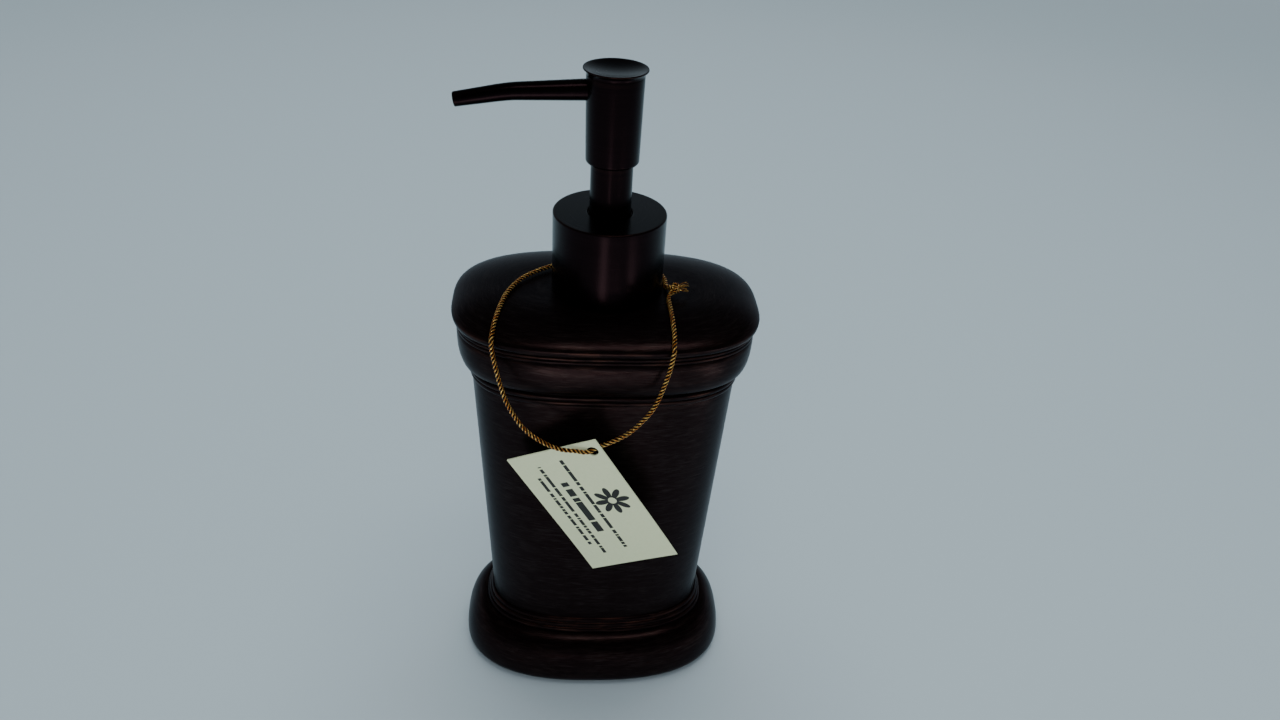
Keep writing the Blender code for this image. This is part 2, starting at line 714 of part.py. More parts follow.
def make_stem(finish):
    """The hollow stem that carries the piston. Its top is bored wider for the outlet ball."""
    profile = [
        (STEM_BORE_RADIUS, STEM_FOOT_Z),
        (STEM_RADIUS, STEM_FOOT_Z),
        (STEM_RADIUS, STEM_TOP_Z),
        (OUTLET_POCKET_RADIUS, STEM_TOP_Z),
        (OUTLET_POCKET_RADIUS, OUTLET_SEAT_Z),
        (STEM_BORE_RADIUS, OUTLET_SEAT_Z),
    ]
    return turned("stem", profile, finish, count=SMALL_POINTS)


def make_ferrule(finish):
    inside = STEM_RADIUS + GAP
    outside = inside + FERRULE_WALL
    low_z = STEM_FOOT_Z
    high_z = PISTON_FOOT_Z - GAP
    profile = [(inside, low_z), (outside, low_z), (outside, high_z), (inside, high_z)]
    return turned("stem_ferrule", profile, finish, count=SMALL_POINTS)


# ---------------------------------------------------------------- head


def make_sleeve(finish):
    inside = SLEEVE_RADIUS - SLEEVE_WALL
    profile = [
        (inside, SLEEVE_FOOT_Z),
        (SLEEVE_RADIUS, SLEEVE_FOOT_Z),
        (SLEEVE_RADIUS, SLEEVE_TOP_Z),
        (inside, SLEEVE_TOP_Z),
    ]
    return turned("stem_sleeve", profile, finish)


def rod_in_spout_line(name, radius, start_x, end_x, count=SMALL_POINTS):
    """A plain round rod along the spout's first straight run, used as a cutter."""
    start = spout_centre(0)
    slope = (start.z - spout_centre(0.1).z) / (start.x - spout_centre(0.1).x)
    rings = []
    for x in (start_x, end_x):
        z = start.z + slope * (x - start.x)
        ring = circle(radius, 0, count)
        rings.append([Vector((x - slope * point.y, point.x, z + point.y)) for point in ring])
    return skin(name, rings, None)


def make_head_shell(finish):
    """The conical metal head, with a rounded foot and a side hole for the spout."""
    foot_hole = SLEEVE_RADIUS + GAP
    round_foot = quarter(
        (HEAD_FOOT_RADIUS - HEAD_FOOT_ROUND, HEAD_FOOT_Z + HEAD_FOOT_ROUND),
        (HEAD_FOOT_ROUND, HEAD_FOOT_ROUND),
        -90,
        0,
        4,
    )
    profile = [(foot_hole, HEAD_FOOT_Z)]
    profile += round_foot
    profile += [
        (HEAD_TOP_RADIUS, HEAD_TOP_Z),
        (HEAD_TOP_RADIUS - HEAD_WALL, HEAD_TOP_Z),
        (HEAD_FOOT_RADIUS - HEAD_WALL, HEAD_FOOT_Z + HEAD_WALL),
        (foot_hole, HEAD_FOOT_Z + HEAD_WALL),
    ]
    shell = turned("head_shell", profile, finish)
    reach = HEAD_TOP_RADIUS + SPOUT_ROOT_RADIUS
    cutter = rod_in_spout_line("spout_hole", SPOUT_ROOT_RADIUS + GAP, -reach, 0)
    join_with(shell, cutter, "DIFFERENCE")
    return shell


def make_head_cap(finish):
    """The dished disc that closes the head, with a thin flared rim and a spigot inside the shell."""
    foot_z = HEAD_TOP_Z + GAP
    rim_z = foot_z + CAP_DISC_HEIGHT
    spigot_radius = HEAD_TOP_RADIUS - HEAD_WALL - GAP
    dish_radius = CAP_DISC_RADIUS - CAP_RIM_WIDTH
    flare = quarter(
        (CAP_DISC_RADIUS, foot_z),
        (CAP_DISC_RADIUS - HEAD_TOP_RADIUS, 0.75 * CAP_DISC_HEIGHT),
        180,
        90,
        4,
    )
    profile = [(0, foot_z - 0.0002), (spigot_radius, foot_z - 0.0002), (spigot_radius, foot_z)]
    profile += flare
    profile += [(CAP_DISC_RADIUS, rim_z - 0.0001), (CAP_DISC_RADIUS - 0.0001, rim_z), (dish_radius, rim_z)]
    for share in (0.8, 0.6, 0.4, 0.2):
        profile.append((dish_radius * share, rim_z - CAP_DISH_DEPTH * (1 - share**2)))
    profile.append((0, rim_z - CAP_DISH_DEPTH))
    return turned("head_cap", profile, finish, count=TURNED_POINTS, closed=False)


def make_head_core(finish):
    """The plastic core: a socket for the stem, a spigot for the sleeve and a duct to the spout."""
    socket_radius = STEM_RADIUS + GAP
    profile = [
        (socket_radius, CORE_FOOT_Z),
        (CORE_SPIGOT_RADIUS, CORE_FOOT_Z),
        (CORE_SPIGOT_RADIUS, CORE_SHOULDER_Z),
        (CORE_RADIUS, CORE_SHOULDER_Z),
        (CORE_RADIUS, CORE_TOP_Z),
        (0, CORE_TOP_Z),
        (0, SPOUT_Z + STEM_BORE_RADIUS),
        (STEM_BORE_RADIUS, SPOUT_Z + STEM_BORE_RADIUS),
        (STEM_BORE_RADIUS, STEM_TOP_Z + GAP),
        (socket_radius, STEM_TOP_Z + GAP),
    ]
    bm = bmesh.new()
    rings = [[bm.verts.new(point) for point in circle(radius, z, SMALL_POINTS + 8)] for radius, z in profile]
    for lower, upper in zip(rings, rings[1:] + rings[:1]):
        if len(lower) > 1 or len(upper) > 1:
            bridge(bm, lower, upper)
    core = add_object("head_core", bm, finish)
    pocket = rod_in_spout_line("spout_socket", SPOUT_ROOT_RADIUS + GAP, -2 * CORE_RADIUS, SPOUT_ROOT_X + 2 * GAP)
    duct = rod_in_spout_line("outlet_duct", STEM_BORE_RADIUS * 0.7, SPOUT_ROOT_X - GAP, STEM_BORE_RADIUS * 0.4)
    join_with(core, pocket, "DIFFERENCE")
    join_with(core, duct, "DIFFERENCE")
    return core


def spout_centre(share):
    """The spout's centreline: a gentle fall to the bend, then a steeper fall to the tip, in the XZ plane."""
    start = Vector((SPOUT_ROOT_X, 0, SPOUT_Z))
    bend = Vector((SPOUT_BEND_X, 0, SPOUT_Z - SPOUT_BEND_DROP))
    tip = Vector((SPOUT_TIP_X, 0, SPOUT_Z - SPOUT_TIP_DROP))
    run_in = bend + (start - bend) * 0.12
    run_out = bend + (tip - bend) * 0.25
    bend_share = (SPOUT_ROOT_X - SPOUT_BEND_X) / (SPOUT_ROOT_X - SPOUT_TIP_X)
    first = bend_share * 0.88
    last = bend_share + (1 - bend_share) * 0.25
    if share <= first:
        return start.lerp(run_in, share / first)
    if share >= last:
        return run_out.lerp(tip, (share - last) / (1 - last))
    turn = (share - first) / (last - first)
    return run_in.lerp(bend, turn).lerp(bend.lerp(run_out, turn), turn)


def tube_rings(outer_radii, inner_radii, count):
    """Rings down the outside of the spout's line and back up the inside."""
    shares = [step / (SPOUT_POINTS - 1) for step in range(SPOUT_POINTS)]
    frames = []
    for share in shares:
        centre = spout_centre(share)
        ahead = spout_centre(min(1, share + 0.01)) - spout_centre(max(0, share - 0.01))
        ahead.normalize()
        frames.append((centre, Vector((0, 1, 0)), ahead.cross(Vector((0, 1, 0)))))
    rings = []
    for radii, order in ((outer_radii, 1), (inner_radii, -1)):
        ends = list(zip(shares, frames))[::order]
        for share, (centre, side, up) in ends:
            radius = radii[0] + (radii[1] - radii[0]) * share
            turns = [2 * math.pi * index / count for index in range(count)]
            rings.append([centre + radius * (side * math.cos(t) + up * math.sin(t)) for t in turns])
    return rings


def make_spout(finish):
    outer = (SPOUT_ROOT_RADIUS, SPOUT_TIP_RADIUS)
    inner = tuple(radius - SPOUT_WALL for radius in outer)
    return skin("spout", tube_rings(outer, inner, SMALL_POINTS), finish, closed=True)


def make_spout_liner(finish):
    outer = (SPOUT_ROOT_RADIUS - SPOUT_WALL - GAP, SPOUT_TIP_RADIUS - SPOUT_WALL - GAP)
    inner = tuple(radius - LINER_WALL for radius in outer)
    return skin("spout_liner", tube_rings(outer, inner, 12), finish, closed=True)


# ---------------------------------------------------------------- hang tag and cord

# The cord's route, in hand-chosen points: round the back of the collar from the knot, over the lid to the front,
# down through the tag's hole, and up over the lid again to the knot.
# Degrees round the collar.
CORD_ROUND_COLLAR = (-7, 10, 34, 58, 82, 106, 128)
# (x, y) where the cord lies on the lid, from the collar to the front edge.
CORD_OVER_LID_LEFT = (
    (-0.0177, 0.0094),
    (-0.0224, 0.0055),
    (-0.0268, 0.0003),
    (-0.0306, -0.0088),
    (-0.0327, -0.0198),
    (-0.0334, -0.0254),
)
# (x, distance in front of the lid, height above the lid's edge) where the cord hangs clear of the body.
CORD_HANGING_LEFT = (
    (-0.0338, -0.0039, 0.0015),
    (-0.0337, -0.0034, -0.0008),
    (-0.0330, -0.0024, -0.0045),
    (-0.0308, 0.0002, -0.0123),
    (-0.0283, 0.0017, -0.0184),
    (-0.0232, 0.0030, -0.0255),
    (-0.0153, 0.0041, -0.0302),
)
# (along, up, in front of the card's middle) where the cord passes through the tag's hole.
CORD_THROUGH_TAG = (
    (-0.0047, 0.0001, 0.00125),
    (-0.00235, 0.0002, 0.00125),
    (-0.00095, 0.0003, 0.00087),
    (-0.0005, 0.0003, 0.00053),
    (0.0, 0.0004, 0.0),
    (0.0005, 0.0005, -0.00053),
    (0.00095, 0.0007, -0.00087),
    (0.0016, 0.0009, -0.00122),
    (0.0023, 0.0015, -0.00125),
    (0.0042, 0.0027, -0.00135),
)
CORD_HANGING_RIGHT = (
    (0.0059, 0.0040, -0.0252),
    (0.0101, 0.0032, -0.0213),
    (0.0140, 0.0024, -0.0157),
    (0.0171, 0.0015, -0.0060),
    (0.0184, 0.0005, 0.0006),
    (0.0185, -0.0004, 0.0022),
)
CORD_OVER_LID_RIGHT = (
    (0.0187, -0.0279),
    (0.0186, -0.0225),
    (0.0184, -0.0165),
    (0.0182, -0.0115),
)
KNOT_START = (COLLAR_RADIUS + 0.0015, -0.0062, 0.0021)
KNOT_END = (COLLAR_RADIUS + 0.0084, -0.0036, 0.0022)
KNOT_PROFILE = (
    (0.00, 0.0),
    (0.04, 0.0009),
    (0.15, 0.0016),
    (0.28, 0.0018),
    (0.42, 0.0013),
    (0.52, 0.0009),
    (0.75, 0.0011),
    (1.00, 0.0013),
)


def smooth_route(points, spacing):
    """A Catmull-Rom curve through the points, sampled at about the given spacing."""
    route = [Vector(point) for point in points]
    ends = [2 * route[0] - route[1]] + route + [2 * route[-1] - route[-2]]
    samples = [route[0]]
    for before, start, end, after in zip(ends, ends[1:], ends[2:], ends[3:]):
        steps = max(1, round((end - start).length / spacing))
        for step in range(1, steps + 1):
            t = step / steps
            samples.append(
                0.5
                * (
                    2 * start
                    + (end - before) * t
                    + (2 * before - 5 * start + 4 * end - after) * t**2
                    + (3 * start - before - 3 * end + after) * t**3
                )
            )
    return samples


def over_lid(x, y):
    """A point one cord radius and a gap above the dome, measured square to its surface."""

    def dome(across, along):
        wide = abs(across / (LID_HALF_DEPTH + EXTRA_HALF_WIDTH)) ** LID_EXPONENT
        deep = abs(along / LID_HALF_DEPTH) ** LID_EXPONENT
        return LID_EDGE_Z + dome_height(min(1, (wide + deep) ** (1 / LID_EXPONENT)))

    step = 0.0001
    slope_x = (dome(x + step, y) - dome(x - step, y)) / (2 * step)
    slope_y = (dome(x, y + step) - dome(x, y - step)) / (2 * step)
    return Vector((x, y, dome(x, y))) + CORD_LIFT * Vector((-slope_x, -slope_y, 1)).normalized()


def in_front(x, out, rise):
    return Vector((x, -LID_HALF_DEPTH - out, LID_EDGE_Z + rise))


def cord_route():
    """The route's points in order, in metres."""
    radius = COLLAR_RADIUS + CORD_LIFT
    round_collar = circle(radius, PLATEAU_Z + CORD_LIFT, 360)
    points = [round_collar[degrees % 360] for degrees in CORD_ROUND_COLLAR]
    points += [over_lid(x, y) for x, y in CORD_OVER_LID_LEFT]
    points += [in_front(*place) for place in CORD_HANGING_LEFT]
    across, down, out = tag_axes()
    level = Vector((0, 0, 1)).cross(out).normalized()
    upward = out.cross(level)
    hole = tag_hole_place()
    points += [hole + level * run + upward * rise + out * front for run, rise, front in CORD_THROUGH_TAG]
    points += [in_front(*place) for place in CORD_HANGING_RIGHT]
    points += [over_lid(x, y) for x, y in CORD_OVER_LID_RIGHT]
    return points


def make_cord(finish):
    """The gold cord as one round tube."""
    curve = bpy.data.curves.new("tag_cord", "CURVE")
    curve.dimensions = "3D"
    curve.bevel_depth = CORD_DIAMETER / 2
    curve.bevel_resolution = 2
    curve.use_fill_caps = True
    samples = smooth_route(cord_route(), CORD_POINT_SPACING)
    spline = curve.splines.new("POLY")
    spline.points.add(len(samples) - 1)
    for point, place in zip(spline.points, samples):
        point.co = (*place, 1)
    curve.materials.append(finish)
    cord = bpy.data.objects.new("tag_cord", curve)
    bpy.context.collection.objects.link(cord)
    return cord


def make_knot(finish):
    """The knot and its short frayed tails, as one turned lump lying on the lid."""
    start = Vector(KNOT_START) + Vector((0, 0, PLATEAU_Z))
    line = Vector(KNOT_END) - Vector(KNOT_START)
    turn = Vector((0, 0, 1)).rotation_difference(line).to_matrix()
    rings = []
    for share, radius in KNOT_PROFILE:
        ring = circle(radius, line.length * share, 12)
        rings.append([start + turn @ point for point in ring])
    return skin("cord_knot", rings, finish, smooth_angle=60)


def tag_axes():
    """The tag's own directions: across to the right, down its length, and out of its printed face."""
    lean = Matrix.Rotation(TAG_TURN, 3, "Z") @ Matrix.Rotation(TAG_LEAN, 3, "X")
    hang = math.atan2(TAG_WIDTH / 2 - TAG_HOLE_FROM_SIDE, TAG_LENGTH / 2 - TAG_HOLE_FROM_TOP)
    across = lean @ Vector((math.cos(hang), 0, math.sin(hang)))
    down = lean @ Vector((math.sin(hang), 0, -math.cos(hang)))
    return across, down, down.cross(across)


def tag_hole_place():
    return in_front(TAG_HOLE_X, TAG_HOLE_IN_FRONT, -TAG_HOLE_BELOW_EDGE)


def make_tag(finish):
    """The paper tag, hanging with its middle straight below its hole. Its origin is on the hole's axis."""
    across, down, out = tag_axes()
    frame = Matrix((across, -down, -out)).transposed().to_4x4()
    left = TAG_HOLE_FROM_SIDE - TAG_WIDTH
    low = TAG_HOLE_FROM_TOP - TAG_LENGTH
    corners = ((left, low), (left + TAG_WIDTH, low), (left + TAG_WIDTH, low + TAG_LENGTH), (left, low + TAG_LENGTH))
    rings = [[Vector((x, y, z)) for x, y in corners] for z in (-TAG_THICKNESS / 2, TAG_THICKNESS / 2)]
    tag = skin("hang_tag", rings, finish)
    cutter_rings = [circle(TAG_HOLE_RADIUS, z, SMALL_POINTS) for z in (-0.001, 0.001)]
    cutter = skin("tag_hole", cutter_rings, None)
    place = Matrix.Translation(tag_hole_place()) @ frame
    tag.matrix_world = place
    cutter.matrix_world = place
    join_with(tag, cutter, "DIFFERENCE")
    return tag


# ---------------------------------------------------------------- assembly


def hinge_empty(name, place, pieces):
    """An empty on a joint's axis, with the pieces that move about it as its children."""
    empty = bpy.data.objects.new(name, None)
    empty.location = place
    bpy.context.collection.objects.link(empty)
    bpy.context.view_layer.update()
    for piece in pieces:
        piece.parent = empty
        piece.matrix_parent_inverse = empty.matrix_world.inverted()
    return empty


def build():
    start_empty()
    bronze = material("dark_bronze_cast", (0.018, 0.011, 0.010), 0.34, 0.35)
    metal = material("dark_bronze_metal", (0.022, 0.014, 0.013), 0.30, 0.80)
    white = material("natural_plastic", (0.78, 0.78, 0.74), 0.45, 0.0)
    black = material("black_plastic", (0.02, 0.02, 0.022), 0.40, 0.0)
    steel = material("steel", (0.55, 0.56, 0.58), 0.25, 1.0)
    rubber = material("soft_rubber", (0.05, 0.05, 0.055), 0.80, 0.0)
    gold = material("gold_thread", (0.72, 0.45, 0.12), 0.35, 0.7)
    paper = material("cream_card", (0.82, 0.82, 0.72), 0.85, 0.0)

    make_reservoir(bronze)
    make_base_pad(rubber)
    make_neck_insert(black)
    make_cord(gold)
    make_knot(gold)
    make_tag(paper)

    pump = [make_gasket(rubber), make_housing(white), make_bush(black), make_dip_tube(white)]
    pump += [make_retainer(white), make_spring(steel)]
    inlet_ball = make_ball("inlet_ball", VALVE_HOLE_RADIUS, VALVE_SEAT_Z, steel)
    closure = [make_screw_cap(black), make_collar(metal)]
    plunger = [make_piston(white), make_seal(rubber), make_stem(white), make_ferrule(white)]
    outlet_ball = make_ball("outlet_ball", STEM_BORE_RADIUS, OUTLET_SEAT_Z, steel)
    head = [make_sleeve(metal), make_head_shell(metal), make_head_cap(metal), make_head_core(black)]
    head += [make_spout(metal), make_spout_liner(white)]

    on_axis = (0, 0, PLATEAU_Z)
    hinge_empty("pump_axis", on_axis, pump + [inlet_ball])
    hinge_empty("closure_axis", on_axis, closure)
    hinge_empty("press_axis", on_axis, plunger + [outlet_ball])
    hinge_empty("swivel_axis", on_axis, head)


build()
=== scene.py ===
# %% [markdown]
# # A soap pump dispenser, from the inside out
#
# This lesson dresses a finished mechanical model of a countertop soap dispenser. The model arrives with
# every piece in its right place: a cast reservoir, a screw-on pump, and a paper tag on a gold cord. The
# solids are plain and faceted, so each piece that shows is rebuilt here as a fine surface, and each gets
# a finish made of nodes. All lengths are in metres, +Z is up, and the wide front looks along -Y.

import math

import bpy
import numpy as np
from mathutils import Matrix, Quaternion, Vector


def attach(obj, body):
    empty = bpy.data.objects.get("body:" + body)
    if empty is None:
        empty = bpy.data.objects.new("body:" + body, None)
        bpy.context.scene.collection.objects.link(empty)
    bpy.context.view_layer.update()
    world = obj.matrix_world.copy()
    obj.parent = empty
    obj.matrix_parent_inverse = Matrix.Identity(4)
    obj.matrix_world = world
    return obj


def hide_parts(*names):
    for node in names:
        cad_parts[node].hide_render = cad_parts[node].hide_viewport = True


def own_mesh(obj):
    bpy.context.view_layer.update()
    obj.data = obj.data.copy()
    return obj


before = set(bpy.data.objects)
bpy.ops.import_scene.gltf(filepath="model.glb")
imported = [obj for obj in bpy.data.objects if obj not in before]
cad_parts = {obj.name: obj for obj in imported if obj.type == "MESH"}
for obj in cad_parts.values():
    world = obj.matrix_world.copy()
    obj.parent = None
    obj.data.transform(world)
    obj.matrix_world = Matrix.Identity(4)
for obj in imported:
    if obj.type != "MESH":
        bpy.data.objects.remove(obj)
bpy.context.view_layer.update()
MM = 0.001
print("pieces in the model:", len(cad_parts))

# %% [markdown]
# ## The viewpoint
#
# The dispenser is seen from a hand's height above it, turned a little to one side and with a slight
# tilt, through a wide lens held close. A camera can be aimed with a constraint or by typing angles. Here
# it is aimed with a direction and a roll, because that keeps where it looks and how it is held as
# separate numbers.

# %% Place and aim the camera
camera_place = Vector((-0.01433, -0.28625, 0.29785))
camera_forward = Vector((0.07673, 0.84355, -0.53154))
camera_roll = math.radians(3.68)

camera_data = bpy.data.cameras.new("viewpoint")
camera_data.sensor_width = 36.0
camera_data.lens = 29.53
camera_data.clip_start = 0.01
camera = bpy.data.objects.new("viewpoint", camera_data)
camera.location = camera_place
camera.rotation_mode = "QUATERNION"
aim = camera_forward.to_track_quat("-Z", "Y")
camera.rotation_quaternion = aim @ Quaternion((0, 0, 1), camera_roll)
bpy.context.scene.collection.objects.link(camera)
bpy.context.scene.camera = camera
print("camera stands", round(camera_place.length, 3), "m from the middle of the base")

# %% [markdown]
# ## Small tools for nodes and meshes
#
# A material is a tree of nodes, and building one in code is mostly repetition: make a node, set a few of
# its sockets, wire the others. One short function does all of it, and the trees below then read like
# recipes. Meshes have the same trouble, so a second function turns a grid of points into faces.

# %% A helper that makes and wires one node
def node(tree, kind, sockets=None, **settings):
    """Makes a node, sets its properties, then fills each named or numbered socket with a value or a link."""
    made = tree.nodes.new(kind)
    for name, value in settings.items():
        setattr(made, name, value)
    for socket, value in (sockets or {}).items():
        if isinstance(value, bpy.types.NodeSocket):
            tree.links.new(value, made.inputs[socket])
        else:
            made.inputs[socket].default_value = value
    return made


def maths(tree, operation, first, second=0.0, third=0.0):
    """One Math node, returned as its output socket."""
    return node(tree, "ShaderNodeMath", {0: first, 1: second, 2: third}, operation=operation).outputs[0]


def spread(tree, value, low, high, start=0.0, end=1.0):
    """Maps a value from low..high to start..end with soft ends."""
    sockets = {"Value": value, "From Min": low, "From Max": high, "To Min": start, "To Max": end}
    return node(tree, "ShaderNodeMapRange", sockets, interpolation_type="SMOOTHSTEP").outputs["Result"]


def mixed(tree, factor, first, second):
    """Mixes two colours and returns the result's socket."""
    made = node(tree, "ShaderNodeMix", data_type="RGBA", clamp_factor=True)
    for index, value in ((0, factor), (6, first), (7, second)):
        if isinstance(value, bpy.types.NodeSocket):
            tree.links.new(value, made.inputs[index])
        else:
            made.inputs[index].default_value = value
    return made.outputs[2]


def new_group(name, inputs, outputs):
    """A shader node group with float inputs and given outputs, with its input and output nodes."""
    tree = bpy.data.node_groups.new(name, "ShaderNodeTree")
    for label, kind, value in inputs:
        socket = tree.interface.new_socket(name=label, in_out="INPUT", socket_type=kind)
        if value is not None:
            socket.default_value = value
    for label, kind in outputs:
        tree.interface.new_socket(name=label, in_out="OUTPUT", socket_type=kind)
    return tree, tree.nodes.new("NodeGroupInput"), tree.nodes.new("NodeGroupOutput")


def new_material(name):
    """A material and its Principled shader, ready for its sockets to be set."""
    made = bpy.data.materials.new(name)
    made.use_nodes = True
    return made, made.node_tree, made.node_tree.nodes["Principled BSDF"]


def place_group(tree, group, sockets):
    """Puts a node group into a tree and fills its inputs with values or links."""
    made = tree.nodes.new("ShaderNodeGroup")
    made.node_tree = group
    for name, value in sockets.items():
        if isinstance(value, bpy.types.NodeSocket):
            tree.links.new(value, made.inputs[name])
        else:
            made.inputs[name].default_value = value
    return made


# %% A helper that turns grids of points into a mesh
def skin(name, grids, material, wrap_rows=False, smooth_angle=40, attributes=None):
    """Joins (rows, columns, 3) grids into quads, always closed round their columns.

    wrap_rows joins the last row to the first. Otherwise each end is closed with a fan round its middle.
    """
    places, faces, total = [], [], 0
    for points in grids:
        rows, columns = points.shape[:2]
        grid = total + np.arange(rows * columns).reshape(rows, columns)
        total += rows * columns
        lower = grid if wrap_rows else grid[:-1]
        upper = np.roll(grid, -1, 0) if wrap_rows else grid[1:]
        quads = np.stack([lower, np.roll(lower, -1, 1), np.roll(upper, -1, 1), upper], -1)
        faces += quads.reshape(-1, 4).tolist()
        places.append(points.reshape(-1, 3))
    if not wrap_rows:
        start = 0
        for points in grids:
            rows, columns = points.shape[:2]
            first = start + np.arange(columns)
            last = first + (rows - 1) * columns
            ends = ((points[0], (np.roll(first, -1), first)), (points[-1], (last, np.roll(last, -1))))
            for ring, pair in ends:
                tip = sum(len(block) for block in places)
                places.append(ring.mean(0, keepdims=True))
                faces += np.stack([*pair, np.full(columns, tip)], -1).tolist()
            start += rows * columns
    places = np.vstack(places)
    mesh = bpy.data.meshes.new(name)
    mesh.from_pydata(places.tolist(), [], faces)
    for label, values in (attributes or {}).items():
        layer = mesh.attributes.new(label, "FLOAT", "POINT")
        full = np.zeros(len(places), np.float32)
        if len(grids) == 1:
            values = np.broadcast_to(values, grids[0].shape[:2])
        full[:total] = np.ravel(values)
        layer.data.foreach_set("value", full)
    if signed_volume(places, mesh) < 0:
        mesh.flip_normals()
    mesh.shade_smooth()
    mesh.set_sharp_from_angle(angle=math.radians(smooth_angle))
    mesh.materials.append(material)
    made = bpy.data.objects.new(name, mesh)
    bpy.context.scene.collection.objects.link(made)
    print(name, "has", len(mesh.polygons), "faces")
    return made


def signed_volume(places, mesh):
    """Volume inside a closed mesh, summed from each triangle's wedge: negative when its faces point in."""
    mesh.calc_loop_triangles()
    corners = np.empty(len(mesh.loop_triangles) * 3, np.int32)
    mesh.loop_triangles.foreach_get("vertices", corners)
    a, b, c = np.moveaxis(np.asarray(places)[corners.reshape(-1, 3)], 1, 0)
    return float(np.einsum("ij,ij->i", a, np.cross(b, c)).sum())


def turned(name, profile, material, columns=128, **settings):
    """A piece turned about the pump's axis from a closed or open list of (radius, height) points.

    Each point of the profile sweeps the circle (r cos t, r sin t, z).
    """
    profile = np.asarray(profile, float)
    turn = np.linspace(0, 2 * np.pi, columns, endpoint=False)
    points = np.empty((len(profile), columns, 3))
    points[..., 0] = profile[:, :1] * np.cos(turn)
    points[..., 1] = profile[:, :1] * np.sin(turn)
    points[..., 2] = profile[:, 1:]
    return skin(name, [points], material, **settings)


def arc(centre, radii, start, end, count):
    """Points on an ellipse's arc between two angles in degrees, as (radius, height) pairs."""
    angle = np.radians(np.linspace(start, end, count))
    return np.stack([centre[0] + radii[0] * np.cos(angle), centre[1] + radii[1] * np.sin(angle)], -1)


# %% [markdown]
# ## The room
#
# The dispenser stands in a bright, even room: a pale floor that runs on into a pale distance, with
# daylight from all round. A dark glossy object is drawn almost wholly by what it mirrors, so the room
# matters more than the lamps. The sky lights everything evenly, but the sky that glossy surfaces mirror
# is graded: bright at the horizon, dim overhead and dimmer behind the viewer. Two broad lamps, for a
# window and a bright wall, light the scene without being mirrored. The bright patches on the floor and
# the strip on the ceiling are there to be mirrored, and draw the soft bands on the bronze. Far out the
# floor glows a little, so that it meets the sky without a dark line.

# %% Lay the floor
floor_finish, tree, shader = new_material("pale_floor")
cloudy = node(tree, "ShaderNodeTexNoise", {"Scale": 3.0, "Detail": 3.0, "Roughness": 0.6})
tone = mixed(tree, cloudy.outputs["Fac"], (0.485, 0.565, 0.61, 1), (0.545, 0.625, 0.66, 1))
tree.links.new(tone, shader.inputs["Base Color"])
coordinates = node(tree, "ShaderNodeTexCoord")
from_middle = {0: coordinates.outputs["Object"]}
far = node(tree, "ShaderNodeVectorMath", from_middle, operation="LENGTH").outputs["Value"]
# Painted glow: the floor gives off a pale blue-grey light of its own, fading in from 0.95 m to 2.6 m out, so
# that it meets the sky without a dark line.
painted_far_glow = mixed(tree, spread(tree, far, 0.95, 2.6), (0, 0, 0, 1), (0.21, 0.24, 0.255, 1))
tree.links.new(painted_far_glow, shader.inputs["Emission Color"])
shader.inputs["Emission Strength"].default_value = 1.0
shader.inputs["Roughness"].default_value = 0.55

floor_mesh = bpy.data.meshes.new("floor")
reach = 4.0
corners = [(-reach, -reach, 0), (reach, -reach, 0), (reach, reach, 0), (-reach, reach, 0)]
floor_mesh.from_pydata(corners, [], [(0, 1, 2, 3)])
floor_mesh.materials.append(floor_finish)
floor = bpy.data.objects.new("floor", floor_mesh)
bpy.context.scene.collection.objects.link(floor)
print("floor reaches", reach, "m each way")

# %% Grade the sky
world = bpy.data.worlds.new("room")
bpy.context.scene.world = world
world.use_nodes = True
tree = world.node_tree
looking = node(tree, "ShaderNodeTexCoord").outputs["Generated"]
toward = node(tree, "ShaderNodeSeparateXYZ", {"Vector": looking})
below_ceiling = spread(tree, toward.outputs["Z"], 0.16, 0.62, 1.0, 0.12)
away_from_viewer = spread(tree, toward.outputs["Y"], -0.5, 0.4, 0.24, 1.0)
glow = maths(tree, "MULTIPLY", below_ceiling, away_from_viewer)
tree.nodes["Background"].inputs["Color"].default_value = (0.66, 0.76, 0.84, 1)
mirrored_sky = maths(tree, "MULTIPLY", glow, 0.60)
even_sky = 0.50
mirrored = node(tree, "ShaderNodeLightPath").outputs["Is Glossy Ray"]
difference = maths(tree, "SUBTRACT", mirrored_sky, even_sky)
strength = maths(tree, "MULTIPLY_ADD", mirrored, difference, even_sky)
tree.links.new(strength, tree.nodes["Background"].inputs["Strength"])
print("sky strength where it lights things:", even_sky)


# %% Hang the lamps
def soft_lamp(name, place, aim_at, size, power, colour, mirrored=False):
    """An area lamp that faces a point. Only a mirrored one is seen in glossy surfaces."""
    data = bpy.data.lights.new(name, "AREA")
    data.shape = "RECTANGLE"
    data.size, data.size_y = size
    data.energy = power
    data.color = colour
    lamp = bpy.data.objects.new(name, data)
    lamp.location = place
    lamp.rotation_mode = "QUATERNION"
    lamp.rotation_quaternion = (Vector(aim_at) - Vector(place)).to_track_quat("-Z", "Y")
    lamp.visible_glossy = mirrored
    lamp.visible_camera = False
    bpy.context.scene.collection.objects.link(lamp)
    return lamp


WARM_WHITE = (1, 0.97, 0.95)
soft_lamp("window_above", (0.05, 0.50, 1.35), (0, 0.1, 0.1), (1.3, 1.0), 11.0, (0.90, 0.99, 1.0))
soft_lamp("wall_behind_viewer", (-0.15, -1.3, 0.75), (0, 0, 0.1), (1.1, 0.7), 4.0, (0.98, 0.99, 1.0))
for name, x, y, size, power in (
    ("bright_floor_left", -0.06, -0.29, (0.062, 0.20), 0.12),
    ("bright_floor_right", 0.20, -0.17, (0.06, 0.14), 0.08),
    ("bright_floor_near", 0.02, -0.215, (0.15, 0.035), 0.060),
):
    soft_lamp(name, (x, y, 0.002), (x, y, 1), size, power, WARM_WHITE, mirrored=True)
strip_place, strip_size = (0.08, -0.20, 0.85), (0.50, 0.16)
soft_lamp("ceiling_strip", strip_place, (0, 0, 0.1), strip_size, 0.90, (1, 0.98, 0.96), mirrored=True)

